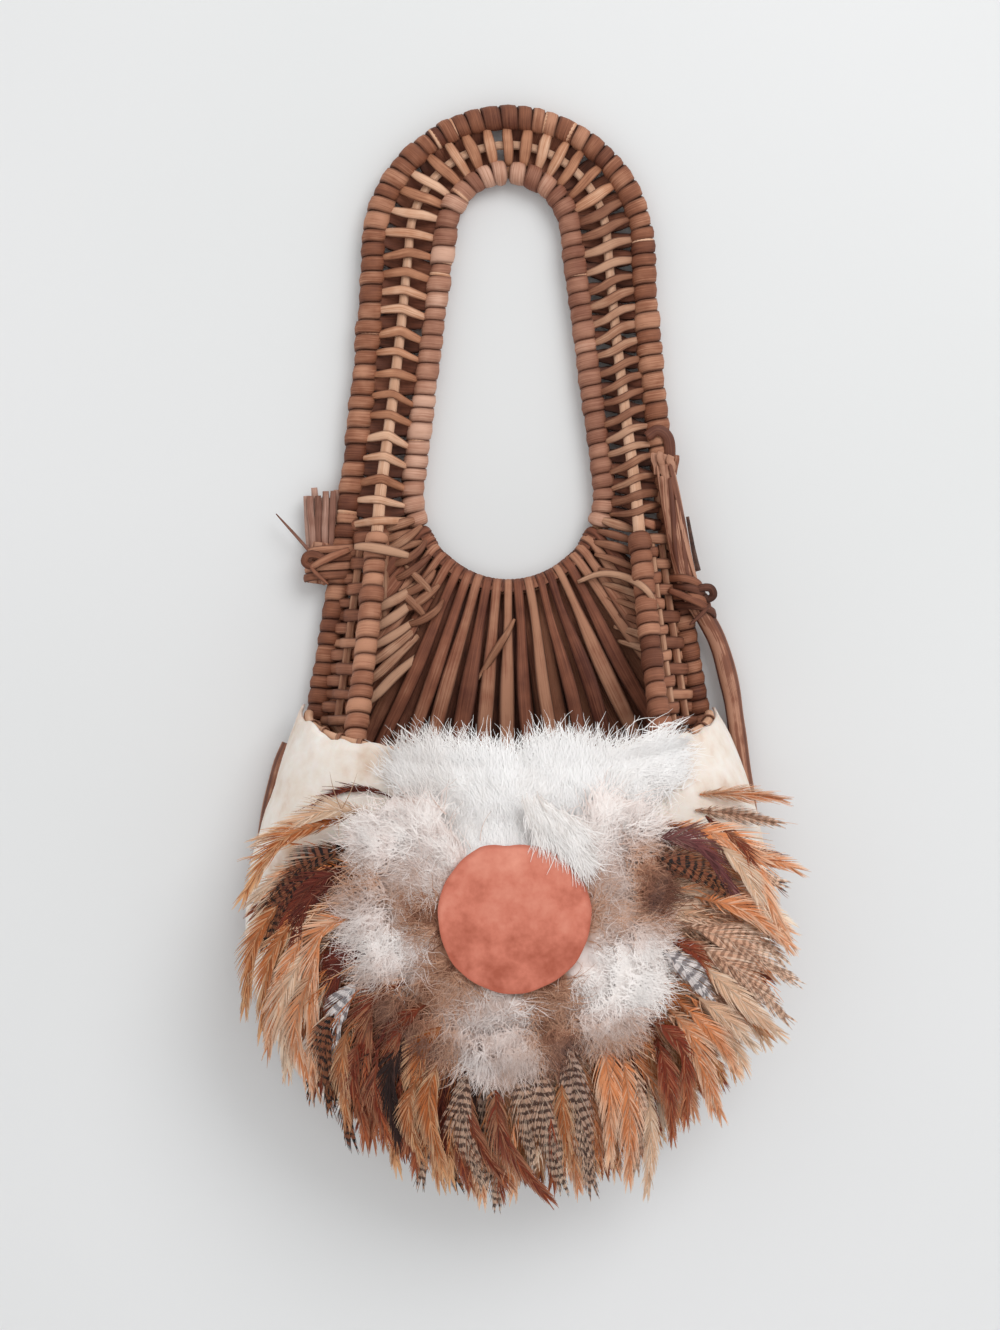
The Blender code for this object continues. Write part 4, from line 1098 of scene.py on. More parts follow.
@dataclass
class Handle(Assembly):
    """Three rods, the bindings wound on them and the lacing that ties them together."""

    outer_radius: float = 5.2 * MM
    inner_radius: float = 4.9 * MM
    rib_radius: float = 4.9 * MM
    pitch: float = 6.3 * MM
    thickness: float = 2.2 * MM
    lace_thickness: float = 1.1 * MM
    crown_rib: float = 1.8 * MM
    limb_rib: float = 2.5 * MM
    lacing_level: float = -135.8 * MM
    fan_top: float = radians(22)
    # The pale strips in the creases: how many for each turn and how deep under the turns
    glint_chance: float = 0.24
    glint_depth: float = 0.9 * MM

    def build(self) -> None:
        """Builds the handle's pieces."""
        self.keep_cores()
        self.bind_outer()
        self.bind_inner()
        self.bind_front_ribs()
        self.middle_rib()
        self.lace()

    def keep_cores(self) -> None:
        """Finishes the frame's own inner and outer rods, which show between the turns."""
        keep_solid(self.shop, CORE_CANE, "inner_rib", "outer_rib")

    def glints(self, strips: Strips, spine: Spine, start: float, end: float,
               radius: float) -> None:
        """Lays short pale strips that show in the creases between some turns."""
        count = int(abs(end - start) / self.pitch * self.glint_chance)
        for distance in strips.rng.uniform(*sorted((start, end)), count):
            here = np.array([distance])
            out = around(spine.tangent(here), np.linspace(-0.25, pi + 0.25, 12)[:, None])
            strips.put(spine.at(here) + out * (radius - self.glint_depth), out,
                       strips.rng.uniform(1.3, 2.3) * MM, 1.0 * MM, 0.7)

    def bind_outer(self) -> None:
        """Winds the outer rib from its left end over the crown to its right end."""
        strips, spine = Strips(11), self.rods.outer
        strips.wind(spine, 3 * MM, spine.length - 3 * MM, self.pitch, self.outer_radius,
                    self.thickness)
        self.shop.dress("outer_binding", strips, OUTER_BARK, "outer_crown_wrap",
                        "right_outer_limb_wrap", "left_outer_limb_wrap")

    def bind_inner(self) -> None:
        """Winds the inner rib down both sides of the hole, from the crown to the fan."""
        spine = self.rods.inner
        end = spine.distance_near(arc(PLAN.hole_bottom, PLAN.inner_bottom,
                                      np.array([-self.fan_top]))[0]) - 1 * MM
        glints = Strips(13)
        for name, way, seed in (("right", 1, 21), ("left", -1, 22)):
            strips = Strips(seed)
            strips.wind(spine, 0.4 * MM * way, end * way, self.pitch, self.inner_radius,
                        self.thickness, hand=way, tone=0.42 - 0.14 * way)
            self.shop.dress(f"{name}_inner_binding", strips, INNER_BARK, f"{name}_inner_wrap")
            self.glints(glints, spine, 20 * MM * way, end * way, self.inner_radius)
        outer = self.rods.outer
        self.glints(glints, outer, 30 * MM, outer.length - 30 * MM, self.outer_radius)
        self.shop.dress("pale_under_strips", glints, LIGHT_STRIP)

    def bind_front_ribs(self) -> None:
        """Winds the middle rib's two lower lengths, which stand in front of the fan."""
        spine = self.rods.middle
        first = spine.distance_near(self.rods.middle_at(self.lacing_level - 10 * MM))
        for name, way, seed in (("right", 1, 31), ("left", -1, 32)):
            start = first if way > 0 else spine.length - first
            end = spine.length - 4 * MM if way > 0 else 4 * MM
            strips = Strips(seed)
            strips.wind(spine, start, end, self.pitch * 1.04, self.rib_radius, self.thickness,
                        spread=0.25, rough=0.35 * MM, hand=way, tone=0.58 - 0.18 * way)
            self.shop.dress(f"{name}_front_rib_binding", strips, RIB_BARK,
                            f"{name}_front_rib_wrap")

    def middle_rib(self) -> None:
        """The pale middle rib, thin over the crown and thicker down the limbs."""
        spine = self.rods.middle
        centre = spine.part(0.0, spine.length, 240)
        away = np.abs(np.linspace(-1, 1, 240))
        tubes = Tubes(10, 41)
        radius = mix(self.crown_rib, self.limb_rib, smooth_step(away, 0.1, 0.7))
        tubes.run(centre, radius, ridges=0.06)
        self.shop.dress("middle_rib_cane", tubes, CANE, "middle_rib")

    def rung(self, strips: Strips, distance: float, way: float, face: float,
             slant: float, droop: float, width: float, tone: float) -> None:
        """Lays one strip across the handle.

        Args:
            strips: the lattice that gets it.
            distance: where it crosses the middle rib.
            way: 1 on the right limb, -1 on the left one.
            face: 1 over the rib, -1 behind it.
            slant: how much further down its inner end lies than its outer one.
            droop: how far both ends hang below the crossing.
            width: its width.
            tone: its tone.
        """
        rods, here = self.rods, np.array([distance])
        middle, down = rods.middle.at(here)[0], rods.middle.tangent(here)[0] * way
        over = middle + FRONT * face * (self.limb_rib + 0.7 * MM)
        ends = []
        for rod, radius, shift in ((rods.outer, self.outer_radius, -slant / 2),
                                   (rods.inner, self.inner_radius, slant / 2)):
            foot = rod.nearest(middle[None])[0]
            inward = unit(middle - foot)
            end = foot + inward * (radius - 2.2 * MM) + down * (shift + droop)
            knee = mix(end, over, 0.62) + FRONT * face * 0.9 * MM + down * shift * 0.2
            ends.append((end, knee))
        controls = [ends[0][0], ends[0][1], over, ends[1][1], ends[1][0]]
        taper = strips.rng.uniform(0.45, 0.75)
        strips.lay(controls, width, self.lace_thickness, tone, rows=15, taper=taper,
                   swell_at=strips.rng.uniform(0.38, 0.58))

    def lace(self) -> None:
        """Laces the three rods together: pale strips over the rib, dark ones behind it, their darkness
        painted shade.
        """
        middle = self.rods.middle
        top = middle.length / 2
        end = middle.distance_near(self.rods.middle_at(self.lacing_level)) - top
        places = np.array((0.0, 0.26, 0.5, 1.0))
        styles = {1.0: {"pitch": (7.6, 7.4, 6.9, 7.2), "slant": (0.0, 3.0, 6.5, 4.0),
                        "droop": (0.0, 0.0, 0.0, 0.5), "width": (4.7, 4.8, 4.0, 3.6),
                        "back": (9.0, 8.6, 7.0, 6.6)},
                  -1.0: {"pitch": (7.6, 7.4, 8.6, 9.8), "slant": (0.0, -2.0, 0.5, 1.0),
                         "droop": (0.0, 0.5, 1.6, 2.4), "width": (4.7, 4.8, 3.9, 3.7),
                         "back": (9.0, 8.6, 8.0, 8.4)}}
        sides = {"crown": Strips(51), "right": Strips(52), "left": Strips(53)}
        behind = {"right": Strips(54), "left": Strips(55)}
        for way, style in styles.items():
            name = "right" if way > 0 else "left"
            away = 0.0 if way > 0 else style["pitch"][0] * MM
            while away < end + (5.5 - 2.5 * way) * MM:
                share = away / end
                pitch, slant, droop, width, wide = (
                    float(np.interp(share, places, style[key])) * MM
                    for key in ("pitch", "slant", "droop", "width", "back"))
                front = sides["crown" if share < 0.26 else name]
                chance = front.rng.uniform
                self.rung(front, top + way * away, way, 1, slant + chance(-1, 1) * MM,
                          droop + chance(-0.5, 0.5) * MM, width * chance(0.88, 1.12),
                          chance(0.25, 0.85))
                back = behind[name]
                self.rung(back, top + way * (away + pitch / 2), way, -1,
                          -slant + back.rng.uniform(-1.5, 1.5) * MM, 0.0,
                          wide * back.rng.uniform(0.85, 1.1), back.rng.uniform(0.2, 0.7))
                away += pitch * chance(0.92, 1.08)
        self.shop.dress("crown_strips", sides["crown"], LIGHT_STRIP, "crown_lacing",
                        "right_shoulder_lacing", "left_shoulder_lacing")
        for name in ("right", "left"):
            self.shop.dress(f"{name}_limb_strips", sides[name],
                            TAN_STRIP if name == "right" else LIGHT_STRIP, f"{name}_limb_lacing")
            # The strips behind the rib take the dark finish as painted shade
            self.shop.dress(f"{name}_back_strips", behind[name], DARK_STRIP)


@dataclass
class Gussets(Assembly):
    """The narrow woven sides between the outer limbs and the wrapped front ribs."""

    top: float = -0.143
    pitch: float = 5.4 * MM
    width: float = 4.9 * MM
    thickness: float = 1.4 * MM
    spoke_radius: float = 1.7 * MM

    def build(self) -> None:
        """Builds both sides: one spoke on the left, two on the right."""
        for name, way, spokes in (("right", 1.0, (0.34, 0.67)), ("left", -1.0, (0.52,))):
            strips, stakes = Strips(61 + len(spokes)), Tubes(8, 63)
            levels = np.arange(self.top, PLAN.rim_level - 2 * MM, -self.pitch)
            for row, level in enumerate(levels):
                self.weft(strips, float(level), way, spokes, row)
            for share in spokes:
                run = np.linspace(self.top - 8 * MM, PLAN.rim_level - 4 * MM, 30)
                stakes.run(self.across(run, way, share), self.spoke_radius, ridges=0.05)
            self.shop.dress(f"{name}_gusset_weave", strips, RIB_BARK, f"{name}_gusset_lacing")
            self.shop.dress(f"{name}_gusset_stakes", stakes, TAN_STRIP, f"{name}_gusset_spoke")

    def across(self, level: Array, way: float, share: float) -> Array:
        """Points at heights, at a share of the way from the outer limb to the front rib."""
        outer = joined(PLAN.outer_x(level), PLAN.rib_plane, level)
        points = mix(outer, self.rods.middle_at(level), share)
        return points if way > 0 else mirrored(points)

    def weft(self, strips: Strips, level: float, way: float, spokes: Sequence[float],
             row: int) -> None:
        """Lays one row over and under the spokes."""
        chance = strips.rng.uniform
        height = np.array([level + chance(-0.5, 0.5) * MM])
        outer, rib = self.across(height, way, 0.0)[0], self.across(height, way, 1.0)[0]
        out = unit(np.cross(UP, rib - outer))
        out = out if out[1] < 0 else -out
        span = float(np.linalg.norm(rib - outer))
        reach = PLAN.wrap_outer / span
        controls = [self.across(height, way, reach * 0.55)[0]]
        lift = self.spoke_radius + self.thickness / 2
        for i, share in enumerate(spokes):
            side = 1 if (row + i) % 2 else -1
            controls.append(self.across(height, way, share)[0] + out * side * lift)
        if len(spokes) == 1 and span > 16 * MM:
            side = -1 if row % 2 else 1
            controls.insert(1, self.across(height, way, 0.26)[0] + out * side * 0.8 * MM)
        controls.append(self.across(height, way, 1 - reach * 0.55)[0])
        controls[-1] = controls[-1] + UP * chance(-1.2, 1.2) * MM
        strips.lay(controls, self.width * chance(0.85, 1.1), self.thickness, chance(0.1, 0.9),
                   out=out, rows=14, taper=0.8)


@dataclass
class Fan(Assembly):
    """Strips looped over the foot of the hand hole that spread down to the pouch."""

    count: int = 21
    loop_width: float = 3.8 * MM
    width: float = 6.6 * MM
    thickness: float = 1.5 * MM
    first: float = radians(24)
    rod_radius: float = 2.6 * MM
    gusset_top: float = -0.182

    def build(self) -> None:
        """Builds the fan, its cross rod and the short strips woven over it."""
        front, back = Strips(71), Strips(72)
        for i in range(self.count):
            share = i / (self.count - 1)
            self.leg(front, share, 1)
        for i in range(self.count - 1):
            self.leg(back, (i + 0.5) / (self.count - 1), -1)
        for i in range(self.count):
            self.leg(back, (i + 0.12) / (self.count - 0.5), -2)
        self.shop.dress("fan_front_strips", front, FAN_STRIP, "centre_fan", "right_side_fan",
                        "left_side_fan")
        # The strips behind take the dark finish as painted shade in the gaps between the front ones
        self.shop.dress("fan_back_strips", back, DARK_STRIP)
        self.cross_strips()
        rod = Tubes(10, 73)
        rod.run(self.rods.fan_rod.part(0.0, self.rods.fan_rod.length, 60), self.rod_radius,
                ridges=0.05)
        self.shop.dress("fan_cross_rod", rod, TAN_STRIP, "fan_rod")

    def foot(self, share: float) -> Array:
        """Where a strip ends: by the right limb, along the cross rod or by the left limb."""
        rod = self.rods.fan_rod
        side = PLAN.rim_level - self.gusset_top
        drop = abs(side)
        total = 2 * drop + rod.length
        run = share * total
        if run < drop or run > total - drop:
            level = self.gusset_top - min(run, total - run)
            x = float(PLAN.outer_x(level)) - PLAN.wrap_outer - 1.5 * MM
            return np.array((x if run < drop else -x, PLAN.rib_plane, level))
        return rod.at(np.array([rod.length - (run - drop)]))[0]

    def leg(self, strips: Strips, share: float, layer: int) -> None:
        """Lays one strip from its loop over the hole's rib down to its foot.

        Args:
            strips: the lattice that gets it.
            share: its place along the fan, from right to left.
            layer: 1 for the front strips, -1 and -2 for the ones behind them.
        """
        chance = strips.rng.uniform
        angle = -self.first - (pi - 2 * self.first) * share + chance(-0.012, 0.012)
        out = np.array((np.cos(angle), 0.0, np.sin(angle)))
        top = PLAN.hole_bottom + out * PLAN.inner_bottom
        foot = self.foot(share) + np.array((chance(-1.5, 1.5) * MM, 0, 0))
        way = unit(foot - top)
        turn = self.rod_radius + self.thickness / 2 + 0.2 * MM
        face = 1.0 if layer > 0 else -1.0
        lift = {1: turn + 0.6 * MM, -1: 0.6 * MM, -2: -1.6 * MM}[layer]
        bulge = chance(1.5, 3.6) * MM if layer > 0 else 0.0
        controls = [top - FRONT * turn * face + out * 1.2 * MM, top - out * turn,
                    top + FRONT * turn * face, mix(top, foot, 0.16) + FRONT * lift,
                    mix(top, foot, 0.52) + FRONT * (lift + bulge),
                    mix(top, foot, 0.94) + FRONT * (lift if layer > 0 else lift * 0.5),
                    foot + way * 3 * MM + FRONT * (0.5 * MM if layer > 0 else -1.5 * MM)]
        bow = np.array((way[2], 0.0, -way[0])) * chance(-1.6, 1.6) * MM
        controls[4] = controls[4] + bow
        spine = Spine(smooth_through(controls))
        rows = 34
        along = np.linspace(0, 1, rows)
        wide = self.width * chance(0.82, 1.12) * (1.05 if layer > 0 else 1.25)
        narrow = self.loop_width * chance(0.9, 1.1)
        swell = smooth_step(along, 0.18, 0.55) * (1 - 0.45 * smooth_step(along, 0.62, 1.0))
        width = mix(narrow, wide, swell)
        centre = spine.at(along * spine.length)
        tangent = unit(np.gradient(centre, axis=0))
        across = np.array((way[2], 0.0, -way[0]))
        facing = np.cross(np.broadcast_to(across, tangent.shape), tangent)
        facing = facing * (1 if layer > 0 else -1) * np.sign(facing[rows // 2] @ FRONT)
        roll = chance(-0.28, 0.28)
        facing = facing + across * roll * swell[:, None]
        strips.put(centre, facing, width, self.thickness, chance(0.1, 0.95))

    def cross_strips(self) -> None:
        """The short strips woven over the fan's edges, corners and middle, and over the ribs."""
        strips = Strips(74)
        chance = strips.rng.uniform
        plane = PLAN.rib_plane - 5.0 * MM

        def spot(x: float, z: float, forward: float = 0.0) -> Array:
            """A place in front of the fan, in millimetres across and down."""
            return np.array((x * MM, plane - forward * MM, z * MM))

        diagonal = (spot(-12.5, -207, 1.2), spot(-6, -196.5, 2.6), spot(-0.5, -188, 2.4),
                    spot(2.6, -182, 0.5))
        strips.lay(diagonal, 3.4 * MM, 1.3 * MM, 0.55, rows=16, taper=0.35)
        for row in range(6):
            z = -177.0 - row * 7.9 - chance(0.0, 1.5)
            x = -57.0 - row * 0.9
            rise = 9.0 + 1.8 * row + chance(-2.0, 2.0)
            forward = 3.0 + 0.5 * row
            run = (spot(x, z - 1.0, forward), spot(x + 7, z + rise * 0.25, forward + 2.2),
                   spot(x + 14, z + rise * 0.66, forward * 0.5 + 1.2),
                   spot(x + 19 + row, z + rise * 1.15, -0.5))
            strips.lay(run, chance(4.0, 5.2) * MM, 1.3 * MM, chance(0.5, 0.95), rows=14,
                       taper=0.5)
        for row in range(6):
            z = -153.0 - row * 6.2
            x = -50.0 + row * 1.8
            side = 1 if row % 2 else 0
            run = (spot(x - 3, z - 1, 0.4), spot(x + 3 + 2 * side, z + 1.5, 2.6),
                   spot(x + 9 + 2 * side, z + 5.5, 2.4), spot(x + 14, z + 10, 0.0))
            strips.lay(run, chance(3.6, 4.4) * MM, 1.2 * MM, chance(0.05, 0.6), rows=13,
                       taper=0.4)
        for row in range(2):
            z, x = -165.0 - row * 9.5, -37.0 - row * 3.0
            run = (spot(x - 6, z + 5.5, 1.0), spot(x - 2, z + 1.5, 2.8), spot(x + 3.5, z - 4, 2.6),
                   spot(x + 6, z - 8, 0.4))
            strips.lay(run, chance(3.2, 4.0) * MM, 1.1 * MM, chance(0.4, 0.8), rows=12,
                       taper=0.35)
        for way in (1, -1):
            for row in range(3):
                z = -143.5 - row * 4.7
                run = (spot(53 * way, z - 1.5, 0.3), spot(48 * way, z, 2.2),
                       spot(43 * way, z + 1.5, 1.8), spot((38.6 - 1.4 * row) * way, z + 3.0, -1.0))
                strips.lay(run, chance(3.4, 4.4) * MM, 1.2 * MM, chance(0.2, 0.8), rows=12,
                           taper=0.5)
        left_rib = mirrored(self.rods.middle_at(np.array([-153 * MM])))[0]
        pale = ((-8.5, -3.6, 0.6), (-4.5, -5.6, 0.6), (0.0, -6.2, 0.0), (5.5, -5.4, -1.0),
                (13.5, -2.6, -3.0))
        strips.lay(places_from(left_rib, pale), 4.4 * MM, 1.2 * MM, 1.0, rows=18, taper=0.6)
        over_rib = self.rods.middle_at(np.array([-172 * MM]))[0]
        arch = (spot(29, -166.5, 0.8), spot(38, -163.2, 3.5), spot(48, -164.5, 7.0),
                over_rib + FRONT * 6.0 * MM + UP * 2 * MM, over_rib + np.array((5.2, 1.0, -5.5)) * MM)
        strips.lay(arch, 3.4 * MM, 1.2 * MM, 0.9, rows=20, taper=0.5)
        for row in range(7):
            z, x = -158.0 - row * 6.0, 40.0 + row * 1.6
            run = (spot(x - 4, z + 3.0, 0.2), spot(x + 3, z + 1.0, 2.5),
                   spot(x + 10, z - 1.8, 3.4 + row * 0.5), spot(x + 15, z - 4.5, 2.0 + row))
            strips.lay(run, chance(3.0, 4.0) * MM, 1.1 * MM, chance(0.2, 0.7), rows=13,
                       taper=0.4)
        self.shop.dress("fan_cross_strips", strips, TAN_STRIP)
        stake = Tubes(8, 75)
        stake.run(np.array([spot(-51.0, z, 1.5) for z in np.linspace(-146, -186, 14)]), 1.9 * MM,
                  ridges=0.06)
        self.shop.dress("left_fan_stake", stake, TAN_STRIP)


# The vine hoop, its lashings and frayed ends

@dataclass
class VineHoop(Assembly):
    """The split vine bent round the pouch, its tails tied to the outer limbs."""

    right_lashing: float = -0.172
    left_lashing: float = -0.158
    lashing_width: float = 3.5 * MM
    lashing_thickness: float = 1.4 * MM
    # How far in front of the limb the knot stands, and how much higher its curl is, in mm
    knot_forward: float = 9.0
    curl_rise: float = 1.5
    limb_radius: float = 5.2 * MM

    def build(self) -> None:
        """Builds the hoop, its tails' loose strands, the lashings and the frayed ends."""
        self.hoop()
        self.lash("right", self.right_lashing, 4, 3.7 * MM, DARK_STRIP)
        self.lash("left", self.left_lashing, 4, 3.6 * MM, RIB_BARK)
        self.fray()

    def hoop(self) -> None:
        """The hoop and the short left tail, grooved along their length, with loose strands."""
        spine = self.rods.vine
        share = np.linspace(0, 1, 320)
        knots = 1 + 0.05 * np.sin(share * 61) + 0.03 * np.sin(share * 143 + 1)
        size = PLAN.vine_radius * 0.93 * knots * mix(1.0, 0.8, smooth_step(share, 0.95, 1.0))
        tubes, stub = Tubes(18, 81), Tubes(14, 85)
        tubes.run(spine.at(share * spine.length), size, ridges=0.12)
        self.shop.dress("vine_hoop_rod", tubes, VINE, "vine_hoop")
        tail = self.rods.left_tail
        stub.run(tail.part(0.0, tail.length, 14), PLAN.vine_radius * 0.9, ridges=0.15)
        self.shop.dress("vine_left_stub", stub, VINE, "left_vine_tail")
        strips = Strips(82)
        chance = strips.rng.uniform
        for i in range(12):
            start = spine.length - chance(44, 66) * MM
            self.strand(strips, spine, start, spine.length + chance(-9, 2) * MM, i)
        for i in range(5):
            self.strand(strips, tail, 0.0, tail.length, i)
        hook = ((66.2, 1.8, -124), (67.3, 0.6, -114), (66.4, -0.4, -106.5), (62.2, -1.0, -103.4),
                (57.6, -0.6, -106.2))
        strips.lay([np.array((x, y - 10.7, z)) * MM for x, y, z in hook], 4.8 * MM, 1.3 * MM, 0.2,
                   rows=30, taper=0.9)
        self.shop.dress("vine_tail_strands", strips, VINE)

    def strand(self, strips: Strips, spine: Spine, start: float, end: float, turn: float) -> None:
        """Lays one loose strand along the vine, slowly winding round it."""
        chance, rows = strips.rng.uniform, 30
        reach = np.linspace(start, end, rows)
        angle = turn * 2.4 + 0.5 * np.sin(np.linspace(0, 3, rows) + turn)
        out = around(spine.tangent(reach), angle[:, None])
        swell = np.sin(pi * np.linspace(0.04, 0.94, rows)) ** 0.5
        centre = spine.at(reach) + out * PLAN.vine_radius * mix(0.72, 0.98, swell)[:, None]
        strips.put(centre, out, chance(1.8, 3.0) * MM * mix(0.5, 1.0, swell), 1.0 * MM,
                   chance(0.2, 0.9))

    def lash(self, name: str, level: float, turns: int, pitch: float, finish: SplitStrip) -> None:
        """Ties one tail to its limb with a strip wound round both, and a knot outside.

        Args:
            name: "right" or "left".
            level: the height of the lashing's middle.
            turns: the number of turns.
            pitch: the height that each turn takes.
            finish: the strip's finish.
        """
        strips = Strips(83 if name == "right" else 84)
        way = 1.0 if name == "right" else -1.0
        side = self.rods.vine_beside(name == "right")
        stations = turns * 20
        turn = np.linspace(0, turns, stations + 1)
        height = level + pitch * (turns / 2 - turn) - 1.8 * MM * np.sin(tau * turn + 0.9 * way)
        angle = tau * turn + 0.5
        out = joined(np.cos(angle), np.sin(angle), 0.0)
        rib = joined(PLAN.outer_x(height) * way, PLAN.rib_plane, height)
        vine = joined(*(np.interp(height, side[:, 2], side[:, k]) for k in range(3)))
        skin = self.lashing_thickness / 2 + 0.2 * MM
        around_rib = rib + out * (self.limb_radius + skin)
        around_vine = vine + out * (PLAN.vine_radius + skin)
        further = (np.einsum("ij,ij->i", around_vine - around_rib, out) > 0)[:, None]
        centre = np.where(further, around_vine, around_rib)
        centre[1:-1] = (centre[:-2] + 2 * centre[1:-1] + centre[2:]) / 4
        strips.put(centre, out, self.lashing_width, self.lashing_thickness,
                   0.5 + 0.3 * np.sin(turn * 3.0))
        front = mix(rib, vine, 0.5)[stations // 2] + FRONT * self.knot_forward * MM
        across = ((-8.0, 3.0, 3.4), (-2.5, 0.4, 1.2), (3.5, 0.2, -1.6), (8.5, 3.2, -4.4))
        strips.lay(places_from(front, across, way), 3.4 * MM, 1.4 * MM, 0.6, rows=16, taper=0.75)
        curl = ((1.0, 1.4, 0.6), (5.6, 0.4, 2.8), (9.2, 0.9, 2.6), (10.4, 2.0, -0.2),
                (8.2, 2.6, -1.8), (6.4, 2.4, -0.2))
        raised = [(x, y, z + self.curl_rise * way) for x, y, z in curl]
        strips.lay(places_from(front, raised, way), 3.4 * MM, 1.8 * MM, 0.1, rows=28, taper=0.8)
        loose = ((9.0, 2.6, -2.0), (6.0, 1.4, -6.0), (0.5, 0.6, -11.0))
        strips.lay(places_from(front, loose, way), 1.9 * MM, 0.9 * MM, 0.3, rows=10, taper=0.4)
        self.shop.dress(f"{name}_vine_lashing", strips, finish, f"{name}_lashing")

    def fray(self) -> None:
        """The vine's broken ends: splinters side by side that stand up from each tail."""
        tops = {"left": self.rods.left_tail.points[0], "right": self.rods.vine.points[-1]}
        for name, count, half, tall, nodes in (("left", 9, 6.2, 27.0, 4), ("right", 5, 4.4, 9.0, 3)):
            strips = Strips(86 if name == "left" else 87)
            chance, base = strips.rng.uniform, tops[name]
            for i in range(count):
                aside = half * (2 * i / (count - 1) - 1)
                foot = base + np.array((aside * 0.8, 0.9 * (-1) ** i, -4.0)) * MM
                tip = foot + np.array((aside * 0.25, chance(-0.5, 0.5), tall * chance(0.84, 1.04))) * MM
                bend = np.array((chance(-0.5, 0.5), chance(-0.5, 0.5), 0.0)) * MM
                strips.lay((foot, mix(foot, tip, 0.4) - bend, mix(foot, tip, 0.75) + bend, tip),
                           chance(2.6, 4.0) * MM, chance(0.9, 1.3) * MM, chance(0, 1), rows=12,
                           taper=0.85, swell_at=0.6)
            if name == "left":
                thin = ((1.0, -1.5, -12.0), (-6.0, -1.5, -2.5), (-19.0, -1.0, 12.0))
                strips.lay(places_from(base, thin), 1.4 * MM, 1.0 * MM, 0.3, rows=12, taper=0.35,
                           swell_at=0.4)
            self.shop.dress(f"{name}_frayed_end", strips, FRAY if name == "left" else VINE,
                            *(f"{name}_splint_{i + 1}" for i in range(nodes)))
        keep_solid(self.shop, TWIG, "right_twig")


# The woven basket behind the feathers

